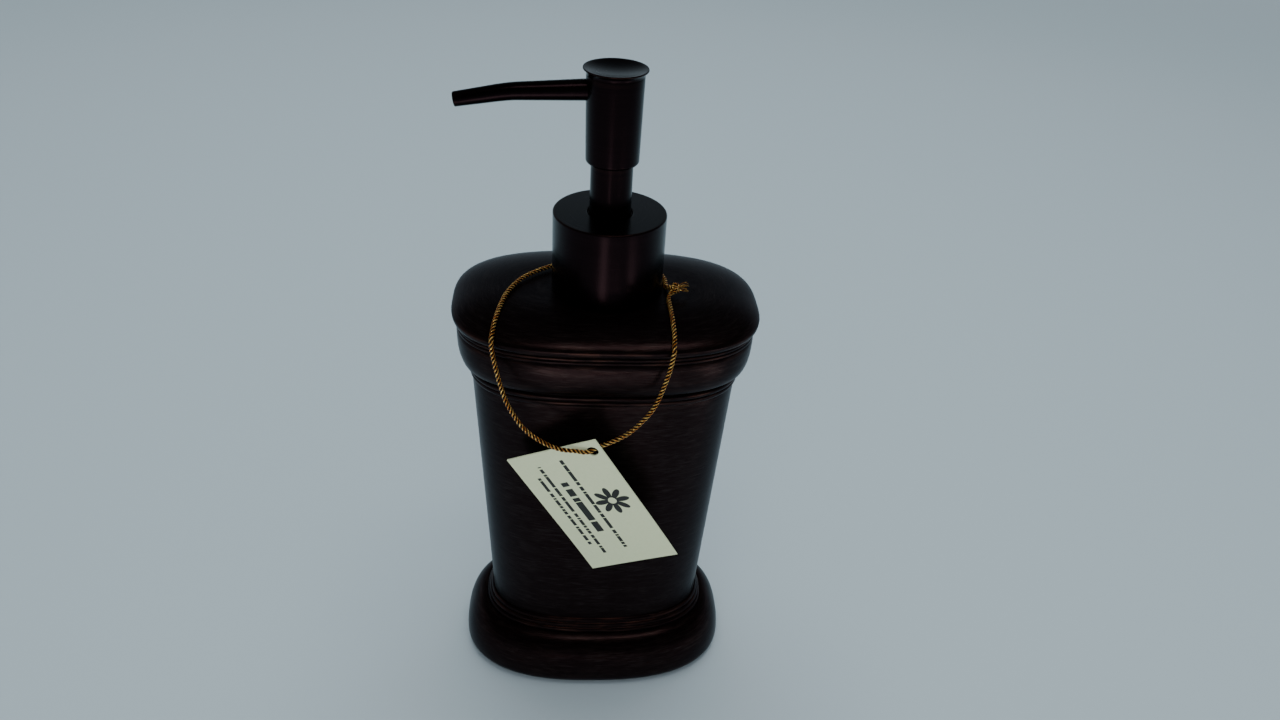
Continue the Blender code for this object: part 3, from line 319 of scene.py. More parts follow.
# %% [markdown]
# ## Brushed dark bronze
#
# The body and the pump share one finish: a near-black brown that was brushed along its length and then
# lacquered. Close up it has three things to tell the eye. Fine streaks run level round the body, some
# patches are rubbed paler than others, and the sharp edges are worn to a copper red. All three are the
# same effect at other strengths on the cast body and on the metal pump, so it is made once, as a node
# group. Streaks come from noise that is squeezed hard in one direction.

# %% The brushed finish as a node group
GROUP_IN = [
    ("Along", "NodeSocketFloat", 0.0),
    ("Edge", "NodeSocketFloat", 0.0),
    ("Streak Width", "NodeSocketFloat", 0.0004),
    ("Streak Length", "NodeSocketFloat", 0.02),
    ("Patches", "NodeSocketFloat", 1.0),
    ("Dark", "NodeSocketColor", (0.016, 0.011, 0.010, 1)),
    ("Rubbed", "NodeSocketColor", (0.085, 0.062, 0.056, 1)),
    ("Worn", "NodeSocketColor", (0.20, 0.075, 0.045, 1)),
    ("Gloss", "NodeSocketFloat", 0.28),
]
GROUP_OUT = [
    ("Color", "NodeSocketColor"),
    ("Roughness", "NodeSocketFloat"),
    ("Height", "NodeSocketFloat"),
]


def streak_noise(tree, place, along, length, width, detail=3.0):
    """Noise squeezed across the brushing: quick to change down the profile and slow to change round it."""
    x = maths(tree, "DIVIDE", place.outputs["X"], length)
    y = maths(tree, "DIVIDE", place.outputs["Y"], length)
    across = maths(tree, "DIVIDE", along, width)
    vector = node(tree, "ShaderNodeCombineXYZ", {"X": x, "Y": y, "Z": across}).outputs[0]
    return node(tree, "ShaderNodeTexNoise", {"Vector": vector, "Scale": 1.0, "Detail": detail}).outputs["Fac"]


tree, entry, leave = new_group("brushed_bronze", GROUP_IN, GROUP_OUT)
brushed = tree
given = entry.outputs
coordinates = node(tree, "ShaderNodeTexCoord")
place = node(tree, "ShaderNodeSeparateXYZ", {"Vector": coordinates.outputs["Object"]})
fine = streak_noise(tree, place, given["Along"], given["Streak Length"], given["Streak Width"])
longer = maths(tree, "MULTIPLY", given["Streak Length"], 2.5)
wider = maths(tree, "MULTIPLY", given["Streak Width"], 7.0)
broad = streak_noise(tree, place, given["Along"], longer, wider, 2.0)
streaks = spread(tree, fine, 0.38, 0.72)
rubbing = spread(tree, broad, 0.35, 0.70)
rubbed = maths(tree, "MULTIPLY", streaks, maths(tree, "MULTIPLY_ADD", rubbing, 0.75, 0.25))
rubbed = maths(tree, "MULTIPLY", rubbed, given["Patches"])
colour = mixed(tree, rubbed, given["Dark"], given["Rubbed"])
wear = maths(tree, "MULTIPLY", given["Edge"], spread(tree, broad, 0.42, 0.66))
colour = mixed(tree, maths(tree, "MULTIPLY", wear, 0.8), colour, given["Worn"])
tree.links.new(colour, leave.inputs["Color"])
rough = maths(tree, "MULTIPLY_ADD", fine, 0.16, maths(tree, "SUBTRACT", given["Gloss"], 0.08))
tree.links.new(rough, leave.inputs["Roughness"])
tree.links.new(fine, leave.inputs["Height"])


def bronze(name, metallic, bump, edge_tint, **settings):
    """A bronze material: the group feeds colour, roughness and a faint bump of brush marks."""
    made, tree, shader = new_material(name)
    along = node(tree, "ShaderNodeAttribute", attribute_name="along").outputs["Fac"]
    edge = node(tree, "ShaderNodeAttribute", attribute_name="edge").outputs["Fac"]
    sockets = {"Along": along, "Edge": edge}
    sockets.update({label.replace("_", " "): value for label, value in settings.items()})
    group = place_group(tree, brushed, sockets)
    sockets = {"Strength": bump, "Distance": 0.00003, "Height": group.outputs["Height"]}
    marks = node(tree, "ShaderNodeBump", sockets)
    tree.links.new(group.outputs["Color"], shader.inputs["Base Color"])
    tree.links.new(group.outputs["Roughness"], shader.inputs["Roughness"])
    tree.links.new(marks.outputs["Normal"], shader.inputs["Normal"])
    shader.inputs["Metallic"].default_value = metallic
    shader.inputs["Specular IOR Level"].default_value = 0.25
    shader.inputs["Specular Tint"].default_value = (*edge_tint, 1)
    return made


cast_bronze = bronze(
    "bronze_resin_brushed",
    0.88,
    0.45,
    (0.63, 0.67, 0.70),
    Gloss=0.30,
    Streak_Width=0.00018,
    Streak_Length=0.0035,
    Patches=0.9,
    Dark=(0.0112, 0.0048, 0.0051, 1),
    Rubbed=(0.034, 0.0245, 0.0240, 1),
    Worn=(0.050, 0.020, 0.015, 1),
)
metal_bronze = bronze(
    "bronze_metal_satin",
    0.93,
    0.25,
    (0.82, 0.88, 0.90),
    Gloss=0.24,
    Streak_Width=0.0002,
    Patches=0.5,
    Dark=(0.0092, 0.0042, 0.0053, 1),
    Rubbed=(0.0175, 0.0088, 0.0104, 1),
    Worn=(0.034, 0.014, 0.011, 1),
)
print("bronze finishes:", cast_bronze.name, metal_bronze.name)

# %% [markdown]
# ## The reservoir's skin
#
# The body is one casting, and every level of it is the same rounded rectangle, a superellipse, only
# larger or smaller. So a single list of half depths and heights, read from the foot up to the neck, down
# into the hollow and across its floor, sweeps out the whole piece. A subdivided cage could give the soft
# dome but not the crisp beads; a swept profile gives both, and its length makes a natural guide for the
# brush marks.

# %% Shapes that profiles are built from
def beads(start, end, count, radius=0.5, steps=10):
    """A row of half round beads between two points: each bulges by radius times sqrt(1 - (2t - 1)^2)."""
    start, end = np.asarray(start, float), np.asarray(end, float)
    run = (end - start) / count
    square = np.array([run[1], -run[0]]) / np.hypot(*run)
    t = 0.5 - 0.5 * np.cos(np.linspace(0, np.pi, steps + 1))
    bulge = radius * np.sqrt(np.clip(1 - (2 * t - 1) ** 2, 0, 1))
    one = t[:, None] * run + bulge[:, None] * square
    return np.vstack([start + index * run + one for index in range(count)])


def fine_line(points, spacing):
    """Adds points along the straight parts of a profile, so that no step is longer than the spacing."""
    points = np.asarray(points, float)
    steps = np.maximum(1, np.ceil(np.hypot(*np.diff(points, axis=0).T) / spacing).astype(int))
    parts = [np.linspace(a, b, count, endpoint=False) for a, b, count in zip(points, points[1:], steps)]
    return np.vstack([*parts, points[-1:]])


def measures(profile, reach):
    """Arc length down a profile, and how far each point stands proud of its neighbours, from 0 to 1."""
    profile = np.asarray(profile, float)
    along = np.concatenate([[0], np.cumsum(np.hypot(*np.diff(profile, axis=0).T))])

    def at(s):
        return np.stack([np.interp(s, along, profile[:, axis]) for axis in (0, 1)], -1)

    chord = at(along + reach) - at(along - reach)
    proud = profile - (at(along + reach) + at(along - reach)) / 2
    square = np.stack([chord[:, 1], -chord[:, 0]], -1) / np.maximum(np.hypot(*chord.T), 1e-9)[:, None]
    return along, np.clip((proud * square).sum(-1) / (0.22 * reach), 0, 1)


print("three beads have", len(beads((23.56, 18.3), (21.46, 23.3), 3)), "points")

# %% Sweep the reservoir
EXTRA_HALF_WIDTH = 15.25
LID_HALF_DEPTH = 32.1
LID_HALF_WIDTH = LID_HALF_DEPTH + EXTRA_HALF_WIDTH
WALL_FOOT = 23.3
WALL_HEIGHT = 93.4
BASE_EXPONENT = 2.5
LID_EXPONENT = 2.87
COLUMNS = 256
LID_EDGE = 139.3
DOME_RISE = 5.35
DOME_START = 0.4


def superellipse_rings(half_depth, height, exponent, extra):
    """Rings in mm: r(t) = (|cos t / a|^n + |sin t / b|^n)^(-1/n), with a = b + extra."""
    turn = np.linspace(0, 2 * np.pi, COLUMNS, endpoint=False)
    b, z, n = (np.asarray(values, float)[:, None] for values in (half_depth, height, exponent))
    a = b + np.asarray(extra, float)[:, None]
    reach = (np.abs(np.cos(turn) / a) ** n + np.abs(np.sin(turn) / b) ** n) ** (-1 / n)
    return np.stack([reach * np.cos(turn), reach * np.sin(turn), np.broadcast_to(z, reach.shape)], -1)


def dome_profile():
    """The cushion top: z = edge + rise (1 - share^2.19)^(1/1.6), flat inside four tenths of the plan."""
    scale = DOME_START + (1 - DOME_START) * np.sin(np.linspace(np.pi / 2, 0, 46))
    share = (scale - DOME_START) / (1 - DOME_START)
    return np.stack([LID_HALF_DEPTH * scale, LID_EDGE + DOME_RISE * (1 - share**2.19) ** (1 / 1.6)], -1)


def exponent_at(height):
    """The plan's exponent grows evenly from the base's to the lid's over the tapering wall."""
    share = np.clip((height - WALL_FOOT) / WALL_HEIGHT, 0, 1)
    return BASE_EXPONENT + (LID_EXPONENT - BASE_EXPONENT) * share


outside = np.vstack(
    [
        [(27.0, 1.3), (27.0, 0.4), (28.4, 0.4)],
        arc((28.4, 4.0), (2.96, 3.6), -90, 0, 14)[1:],
        arc((23.56, 4.0), (7.8, 14.3), 0, 90, 26)[1:],
        beads((23.56, 18.3), (21.46, 23.3), 3),
        fine_line([(21.46, 23.4), (26.55, 116.7)], 2.4),
        beads((26.55, 117.3), (27.25, 121.1), 2),
        [(26.95, 121.5), (27.1, 122.2), (28.2, 122.5), (28.75, 122.75), (29.1, 123.05)],
        [(29.5, 123.6), (29.95, 124.9), (30.35, 126.4), (30.58, 128.0), (30.7, 129.55)],
        [(30.78, 131.2), (30.8, 132.9), (30.7, 133.8), (30.4, 134.4)],
        beads((30.55, 134.5), (30.6, 136.9), 2, 0.32, 8),
        [(30.7, 137.15), (31.3, 137.35), (31.75, 137.8), (32.0, 138.5)],
        dome_profile(),
    ]
)
extra = np.full(len(outside), EXTRA_HALF_WIDTH)
shell = superellipse_rings(outside[:, 0], outside[:, 1], exponent_at(outside[:, 1]), extra)

neck = np.array(
    [(17.4, 144.65), (15.6, 144.65), (15.2, 144.5), (15.2, 142.95), (13.1, 142.95), (13.1, 131.65)]
)
well = superellipse_rings(neck[:, 0], neck[:, 1], np.full(len(neck), 2.0), np.zeros(len(neck)))

hollow = np.array([(22.0, 131.6), (22.35, 116.7), (17.26, 23.3), (17.4, 8.0), (15.5, 6.0), (9.0, 6.0)])
extra = np.full(len(hollow), EXTRA_HALF_WIDTH)
inside = superellipse_rings(hollow[:, 0], hollow[:, 1], exponent_at(hollow[:, 1]), extra)

along, edge = measures(outside, 0.35)
along = np.concatenate([along, along[-1] + np.arange(1, 13)]) * MM
edge = np.concatenate([edge, np.zeros(12)])
reservoir = skin(
    "reservoir_skin",
    [np.concatenate([shell, well, inside]) * MM],
    cast_bronze,
    smooth_angle=50,
    attributes={"along": along[:, None], "edge": edge[:, None]},
)
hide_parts("reservoir")
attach(reservoir, "reservoir_body")
print("reservoir height", round(float(shell[..., 2].max()), 2), "mm")

# %% [markdown]
# ## Collar, stem sleeve and head
#
# The metal parts of the pump are thin drawn shells, so each is a closed profile turned about the axis
# with a wall under a millimetre thick. Drawn metal never ends in a knife edge: the rims of the collar,
# the head and its cap get a small radius, because that is where the light catches.

# %% Turn the collar, the sleeve, the head and its dished cap
def metal_piece(name, profile, node_name, body, closed=True, columns=160):
    """A turned bronze piece that stands for one node and rides one body."""
    profile = np.asarray(profile, float)
    along, edge = measures(profile, 0.25)
    made = turned(
        name,
        profile * MM,
        metal_bronze,
        columns=columns,
        wrap_rows=closed,
        smooth_angle=50,
        attributes={"along": along[:, None] * MM, "edge": edge[:, None]},
    )
    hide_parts(node_name)
    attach(made, body)


metal_piece(
    "collar_skin",
    np.vstack(
        [
            [(16.4, 144.95), (16.75, 144.95)],
            arc((16.75, 145.2), (0.25, 0.25), -90, 0, 6),
            fine_line([(17.0, 146.0), (17.0, 168.6)], 3.0),
            arc((16.55, 168.9), (0.45, 0.45), 0, 90, 10),
            fine_line([(16.2, 169.35), (7.2, 169.35)], 2.0),
            arc((7.1, 169.05), (0.3, 0.3), 90, 180, 6),
            [(6.8, 168.55), (16.4, 168.55)],
        ]
    ),
    "collar",
    "closure_body",
)
metal_piece(
    "sleeve_skin",
    [(5.8, 163.45), (6.2, 163.45), (6.2, 170.0), (6.2, 180.0), (6.2, 191.05), (5.8, 191.05)],
    "stem_sleeve",
    "head_body",
)
metal_piece(
    "head_skin",
    np.vstack(
        [
            [(6.5, 184.85), (6.8, 184.85)],
            arc((6.81, 185.85), (1.0, 1.0), -90, 0, 12),
            fine_line([(7.82, 186.3), (8.25, 209.9)], 3.0),
            [(8.22, 210.15), (7.55, 210.15), (7.11, 185.55), (6.5, 185.55)],
        ]
    ),
    "head_shell",
    "head_body",
)
dish = np.linspace(0.96, 0.06, 16)
metal_piece(
    "head_cap_skin",
    np.vstack(
        [
            [(7.2, 210.05), (7.25, 210.25)],
            arc((9.22, 210.25), (0.97, 1.45), 180, 98, 12),
            arc((9.05, 211.98), (0.19, 0.24), -60, 100, 10),
            np.stack([8.75 * dish, 212.2 - 1.25 * (1 - dish**2)], -1),
        ]
    ),
    "head_cap",
    "head_body",
    closed=False,
)

# %% [markdown]
# ## The spout
#
# The spout is a thin tapering tube that leaves the head almost level, then bends down towards its tip.
# Its line is two straight runs joined by a short curve. Rings are set square to that line, down the
# outside and back up the inside, with a rounded lip where they meet.

# %% Draw the spout along its line
def spout_line(share):
    """Two straight runs in the XZ plane with a quadratic bend between them, from the head to the tip."""
    start, bend, tip = np.array([(-4.6, 205.95), (-29.5, 204.55), (-44.7, 201.75)])
    first, last = 24.9 / 40.1 * 0.88, 24.9 / 40.1 + 15.2 / 40.1 * 0.25
    run_in, run_out = bend + 0.12 * (start - bend), bend + 0.25 * (tip - bend)
    s = np.asarray(share)[:, None]
    t = np.clip((s - first) / (last - first), 0, 1)
    curve = (1 - t) ** 2 * run_in + 2 * t * (1 - t) * bend + t**2 * run_out
    before = start + (run_in - start) * s / first
    after = run_out + (tip - run_out) * (s - last) / (1 - last)
    flat = np.where(s < first, before, np.where(s > last, after, curve))
    return np.stack([flat[:, 0], np.zeros(len(flat)), flat[:, 1]], -1)


def spout_rings(shares, radii, columns=64):
    """Circles square to the spout's line, with the side direction +Y held level."""
    centre = spout_line(shares)
    ahead = spout_line(np.clip(shares + 0.01, 0, 1)) - spout_line(np.clip(shares - 0.01, 0, 1))
    ahead /= np.linalg.norm(ahead, axis=1)[:, None]
    side = np.broadcast_to((0.0, 1.0, 0.0), centre.shape)
    upward = np.cross(ahead, side)
    turn = np.linspace(0, 2 * np.pi, columns, endpoint=False)[:, None]
    radii = np.asarray(radii)[:, None, None]
    return centre[:, None] + radii * (side[:, None] * np.cos(turn) + upward[:, None] * np.sin(turn))


down = np.linspace(0, 0.994, 70)
lip = np.linspace(0, np.pi, 7)
outer_radius = 3.1 - down
lip_shares = 0.994 + 0.0055 * np.sin(lip)
lip_radii = 1.86 + 0.24 * np.cos(lip)
spout_points = np.concatenate(
    [
        spout_rings(down, outer_radius),
        spout_rings(lip_shares, lip_radii),
        spout_rings(down[::-1], outer_radius[::-1] - 0.5),
    ]
)
spout_along = np.linspace(0, 90, len(spout_points))[:, None] * MM
spout_edge = np.concatenate([np.zeros(68), np.ones(8) * 0.8, np.zeros(len(spout_points) - 76)])[:, None]
spout = skin(
    "spout_skin",
    [spout_points * MM],
    metal_bronze,
    wrap_rows=True,
    attributes={"along": spout_along, "edge": spout_edge},
)
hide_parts("spout")
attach(spout, "head_body")

# %% [markdown]
# ## The gold cord
#
# A fine metallic thread runs from a knot round the back of the collar, over the lid, down through the
# tag's hole and back up to the knot. It is made of three strands laid round each other, and that
# twist makes it glitter: each lobe turns through the light in its own place. So the section is a
# three-lobed circle that rotates as it travels, not a smooth tube. On top of that its colour has painted
# highlights, bright gold glints from fine noise, and painted shade, near-black down the grooves between the
# lobes.

# %% Plot the cord's route
COLLAR_RADIUS = 17.0
LIFT = 1.1
PLATEAU = LID_EDGE + DOME_RISE
ROUND_COLLAR = np.radians((-7, 10, 34, 58, 82, 106, 128))
OVER_LID_LEFT = [
    (-17.7, 9.4), (-22.4, 5.5), (-26.8, 0.3), (-30.6, -8.8), (-32.7, -19.8), (-33.4, -25.4),
]
HANGING_LEFT = [
    (-33.8, -3.9, 1.5), (-33.7, -3.4, -0.8), (-33.0, -2.4, -4.5), (-30.8, 0.2, -12.3),
    (-28.3, 1.7, -18.4), (-23.2, 3.0, -25.5), (-15.3, 4.1, -30.2),
]
THROUGH_TAG = [
    (-4.7, 0.1, 1.25), (-2.35, 0.2, 1.25), (-0.95, 0.3, 0.87), (-0.5, 0.3, 0.53), (0.0, 0.4, 0.0),
    (0.5, 0.5, -0.53), (0.95, 0.7, -0.87), (1.6, 0.9, -1.22), (2.3, 1.5, -1.25), (4.2, 2.7, -1.35),
]
HANGING_RIGHT = [
    (5.9, 4.0, -25.2), (10.1, 3.2, -21.3), (14.0, 2.4, -15.7), (17.1, 1.5, -6.0), (18.4, 0.5, 0.6),
    (18.5, -0.4, 2.2),
]
OVER_LID_RIGHT = [(18.7, -27.9), (18.6, -22.5), (18.4, -16.5), (18.2, -11.5)]


def lid_height(x, y):
    """Height of the cushion top over a point of its plan, in mm."""
    reach_x, reach_y = abs(x) / LID_HALF_WIDTH, abs(y) / LID_HALF_DEPTH
    scale = (reach_x**LID_EXPONENT + reach_y**LID_EXPONENT) ** (1 / LID_EXPONENT)
    part = min(1.0, max(0.0, (scale - DOME_START) / (1 - DOME_START)))
    return LID_EDGE + DOME_RISE * (1 - part**2.19) ** (1 / 1.6)


def on_lid(x, y):
    """The point that lies one cord radius and a gap off the lid, square to it."""
    slope_x = (lid_height(x + 0.1, y) - lid_height(x - 0.1, y)) / 0.2
    slope_y = (lid_height(x, y + 0.1) - lid_height(x, y - 0.1)) / 0.2
    square = np.array((-slope_x, -slope_y, 1.0))
    return np.array((x, y, lid_height(x, y))) + LIFT * square / np.linalg.norm(square)


def tag_directions():
    """Across, down and out of the hanging card, which leans back and is turned a little to the left."""
    turn, lean, hang = -0.25, 0.195, math.atan2(12.8, 23.05)
    about_z = np.array([(math.cos(turn), -math.sin(turn), 0), (math.sin(turn), math.cos(turn), 0), (0, 0, 1)])
    about_x = np.array([(1, 0, 0), (0, math.cos(lean), -math.sin(lean)), (0, math.sin(lean), math.cos(lean))])
    both = about_z @ about_x
    across = both @ (math.cos(hang), 0, math.sin(hang))
    down = both @ (math.sin(hang), 0, -math.cos(hang))
    return across, down, np.cross(down, across)


def through(points, spacing):
    """A Catmull-Rom curve through the points, with a step about every spacing."""
    route = np.asarray(points, float)
    ends = np.vstack([2 * route[0] - route[1], route, 2 * route[-1] - route[-2]])
    made = [route[:1]]
    for before, start, end, after in zip(ends, ends[1:], ends[2:], ends[3:]):
        count = max(1, round(np.linalg.norm(end - start) / spacing))
        t = (np.arange(1, count + 1) / count)[:, None]
        bend = (2 * before - 5 * start + 4 * end - after) * t**2
        twist = (3 * start - before - 3 * end + after) * t**3
        made.append(0.5 * (2 * start + (end - before) * t + bend + twist))
    return np.vstack(made)


tag_across, tag_down, tag_out = tag_directions()
TAG_HOLE = np.array((-3.9, -36.7, 108.4))
level = np.cross((0, 0, 1), tag_out)
level /= np.linalg.norm(level)
upward = np.cross(tag_out, level)
radius = COLLAR_RADIUS + LIFT
cord_route = [(radius * np.cos(t), radius * np.sin(t), PLATEAU + LIFT) for t in ROUND_COLLAR]
cord_route += [on_lid(x, y) for x, y in OVER_LID_LEFT]
cord_route += [(x, -LID_HALF_DEPTH - out, LID_EDGE + rise) for x, out, rise in HANGING_LEFT]
cord_route += [TAG_HOLE + level * run + upward * rise + tag_out * out for run, rise, out in THROUGH_TAG]
cord_route += [(x, -LID_HALF_DEPTH - out, LID_EDGE + rise) for x, out, rise in HANGING_RIGHT]
cord_route += [on_lid(x, y) for x, y in OVER_LID_RIGHT]
cord_line = through(cord_route, 0.12)

# %% Twist three strands along the route
gold, tree, shader = new_material("gold_thread_twisted")
groove = node(tree, "ShaderNodeAttribute", attribute_name="lobe").outputs["Fac"]
coordinates = node(tree, "ShaderNodeTexCoord")
sockets = {"Vector": coordinates.outputs["Object"], "Scale": 1500.0, "Detail": 1.0}
# Painted highlights: a fine noise picks spots that turn bright gold, standing for glints, over a deeper
# orange gold.
painted_glints = node(tree, "ShaderNodeTexNoise", sockets)
painted_glint_mask = spread(tree, painted_glints.outputs["Fac"], 0.40, 0.62)
tone = mixed(tree, painted_glint_mask, (0.50, 0.155, 0.020, 1), (1.0, 0.63, 0.17, 1))
# Painted shade: where the lobe attribute is low, down the grooves between the strands, the colour is mixed
# towards near-black.
tone = mixed(tree, spread(tree, groove, 0.60, 0.97, 1.0, 0.0), tone, (0.020, 0.004, 0.001, 1))
tree.links.new(tone, shader.inputs["Base Color"])
shader.inputs["Metallic"].default_value = 0.75
shader.inputs["Roughness"].default_value = 0.28


def lobed_tube(line, radius, pitch, columns=24, lobes=3):
    """Rings of a lobed section, r = d cos p + sqrt(q^2 - d^2 sin^2 p), that turns once per lobes * pitch."""
    line = np.asarray(line, float)
    ahead = np.gradient(line, axis=0)
    ahead /= np.linalg.norm(ahead, axis=1)[:, None]
    hub = np.array((0.0, 0.0, 110.0))
    side = np.cross(ahead, line - hub)
    side /= np.linalg.norm(side, axis=1)[:, None]
    other = np.cross(ahead, side)
    run = np.concatenate([[0], np.cumsum(np.linalg.norm(np.diff(line, axis=0), axis=1))])
    turn = np.linspace(0, 2 * np.pi, columns, endpoint=False)
    offset, strand = 0.536 * radius, 0.464 * radius
    phase = turn[None] - 2 * np.pi * run[:, None] / (lobes * pitch)
    wedge = 2 * np.pi / lobes
    swing = (phase + wedge / 2) % wedge - wedge / 2
    reach = offset * np.cos(swing) + np.sqrt(np.maximum(strand**2 - (offset * np.sin(swing)) ** 2, 0))
    rings = side[:, None] * np.cos(turn)[:, None] + other[:, None] * np.sin(turn)[:, None]
    # The second result, the lobe measure, runs from 0 in the grooves to 1 on the crests; the gold's colour
    # turns its low values into painted shade.
    return line[:, None] + reach[..., None] * rings, np.clip((reach / radius - 0.55) / 0.45, 0, 1)


CORD_RADIUS = 0.7
cord_points, lobe = lobed_tube(cord_line, CORD_RADIUS, 1.3)
cord = skin("gold_cord", [cord_points * MM], gold, smooth_angle=60, attributes={"lobe": lobe})
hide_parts("tag_cord")
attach(cord, "reservoir_body")

# %% [markdown]
# ## The knot and its frayed tails
#
# Where the two ends meet they are tied and cut, and the cut ends spread into loose filaments. A trefoil
# is the simplest true knot, so the same lobed tube is run along one, and a spray of thin curved threads
# leaves its outer side.

# %% Tie the knot
def trefoil(centre, size, count=260):
    """The trefoil (sin t + 2 sin 2t, cos t - 2 cos 2t, -1.35 sin 3t), with a sliver left open at its ends."""
    t = np.linspace(0.03, 2 * np.pi - 0.03, count)
    across = np.sin(t) + 2 * np.sin(2 * t)
    forward = np.cos(t) - 2 * np.cos(2 * t)
    return centre + np.stack([across, forward, -1.35 * np.sin(3 * t)], -1) * size


KNOT_AT = np.array((19.9, -6.2, 147.15))
knot_points, knot_lobe = lobed_tube(trefoil(KNOT_AT, np.array((0.62, 0.70, 0.60))), 0.62, 0.9, columns=18)
from_end = [cord_line[-1], (18.4, -9.4, 146.0), (19.2, -7.4, 146.7), KNOT_AT]
from_start = [cord_line[0], (18.6, -3.6, 146.1), (19.0, -5.0, 146.7), KNOT_AT]
leads = [lobed_tube(through(ends, 0.15), 0.66, 1.15, columns=18) for ends in (from_end, from_start)]
STRANDS, STRAND_STEPS, STRAND_SIDES = 16, 9, 6
fray = np.random.default_rng(7)
strands = []
for index in range(STRANDS):
    spread_y, spread_z = fray.uniform(-1.5, 1.5), fray.uniform(-0.7, 1.1)
    reach_out = fray.uniform(2.4, 4.2)
    t = np.linspace(0, 1, STRAND_STEPS)[:, None]
    start = KNOT_AT + (0.9, 0.25 * spread_y, 0.2 * spread_z)
    tip = np.array((reach_out, 1.25 + spread_y, spread_z - 0.2))
    lift = np.array((0, 0, 0.5)) * np.sin(np.pi * t)
    strand_line = start + tip * t + lift * fray.uniform(-0.3, 1.0)
    strands.append(lobed_tube(strand_line, 0.13, 0.5, columns=STRAND_SIDES)[0])
# The frayed strands all get a lobe of 0.8, so their colour is darkened a little under half way towards the
# painted groove shade.
strand_lobe = np.full(STRANDS * STRAND_STEPS * STRAND_SIDES, 0.8)
knot_lobes = [knot_lobe.ravel(), *(lobe.ravel() for _, lobe in leads), strand_lobe]
knot = skin(
    "cord_knot_tied",
    [knot_points * MM, *(points * MM for points, _ in leads), *(strand * MM for strand in strands)],
    gold,
    smooth_angle=60,
    attributes={"lobe": np.concatenate(knot_lobes)},
)
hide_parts("cord_knot")
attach(knot, "reservoir_body")

# %% [markdown]
# ## The paper tag
#
# The tag is uncoated cream card with a slight curl, as card has once it has been handled. The print is
# left generic: bars that stand for lines of small type, one thick bar for a title, and a plain eight-petal
# rosette. Each point of the card carries its own place on it in millimetres, and the print is worked out
# from those two numbers.

# %% Print and cut the tag
card, tree, shader = new_material("cream_card_printed")
card_u = node(tree, "ShaderNodeAttribute", attribute_name="card_u").outputs["Fac"]
card_v = node(tree, "ShaderNodeAttribute", attribute_name="card_v").outputs["Fac"]


def printed_bar(tree, centre, half_height, start, end, words, seed):
    """A mask that is 1 on a broken bar: a line of greeked type that runs down the card."""
    off = maths(tree, "ABSOLUTE", maths(tree, "SUBTRACT", card_u, centre))
    inside = maths(tree, "LESS_THAN", off, half_height)
    half_run = maths(tree, "ABSOLUTE", maths(tree, "SUBTRACT", card_v, (start + end) / 2))
    run = maths(tree, "LESS_THAN", half_run, (end - start) / 2)
    sockets = {"W": maths(tree, "MULTIPLY_ADD", card_v, words, seed), "Scale": 1.0, "Detail": 1.5}
    beat = node(tree, "ShaderNodeTexNoise", sockets, noise_dimensions="1D")
    solid = maths(tree, "GREATER_THAN", beat.outputs["Fac"], 0.38)
    return maths(tree, "MULTIPLY", maths(tree, "MULTIPLY", inside, run), solid)


def add_masks(tree, masks):
    """The greatest of several masks at each point."""
    total = masks[0]
    for mask in masks[1:]:
        total = maths(tree, "MAXIMUM", total, mask)
    return total


LINES = [
    (-12.0, 0.62, 0.5, 43.0, 0.9, 3.0),
    (-16.4, 1.25, 10.0, 34.0, 0.5, 8.2),
    (-20.4, 0.58, 1.5, 44.0, 0.9, 12.4),
    (-23.2, 0.58, 6.0, 39.0, 0.9, 21.9),
]
ink = [printed_bar(tree, *line) for line in LINES]
from_u = maths(tree, "ADD", card_u, 5.2)
from_v = maths(tree, "SUBTRACT", card_v, 21.5)
squares = [maths(tree, "MULTIPLY", value, value) for value in (from_u, from_v)]
distance = maths(tree, "SQRT", maths(tree, "ADD", *squares))
angle = maths(tree, "ARCTAN2", from_v, from_u)
petals = maths(tree, "ABSOLUTE", maths(tree, "COSINE", maths(tree, "MULTIPLY", angle, 4.0)))
reach = maths(tree, "MULTIPLY_ADD", petals, 4.0, 2.0)
flower = maths(tree, "LESS_THAN", distance, reach)
heart = maths(tree, "GREATER_THAN", distance, 1.4)
ink.append(maths(tree, "MULTIPLY", flower, heart))
front = node(tree, "ShaderNodeAttribute", attribute_name="front").outputs["Fac"]
inked = maths(tree, "MULTIPLY", add_masks(tree, ink), maths(tree, "GREATER_THAN", front, 0.5))
coordinates = node(tree, "ShaderNodeTexCoord")
sockets = {"Vector": coordinates.outputs["Object"], "Scale": 900.0, "Detail": 4.0}
fibres = node(tree, "ShaderNodeTexNoise", sockets)
paper = mixed(tree, fibres.outputs["Fac"], (0.80, 0.86, 0.53, 1), (0.88, 0.92, 0.61, 1))
printed = mixed(tree, maths(tree, "MULTIPLY", inked, 0.99), paper, (0.012, 0.013, 0.014, 1))
tree.links.new(printed, shader.inputs["Base Color"])
shader.inputs["Roughness"].default_value = 0.7
tooth = node(tree, "ShaderNodeBump", {"Strength": 0.2, "Distance": 0.00005, "Height": fibres.outputs["Fac"]})
tree.links.new(tooth.outputs["Normal"], shader.inputs["Normal"])

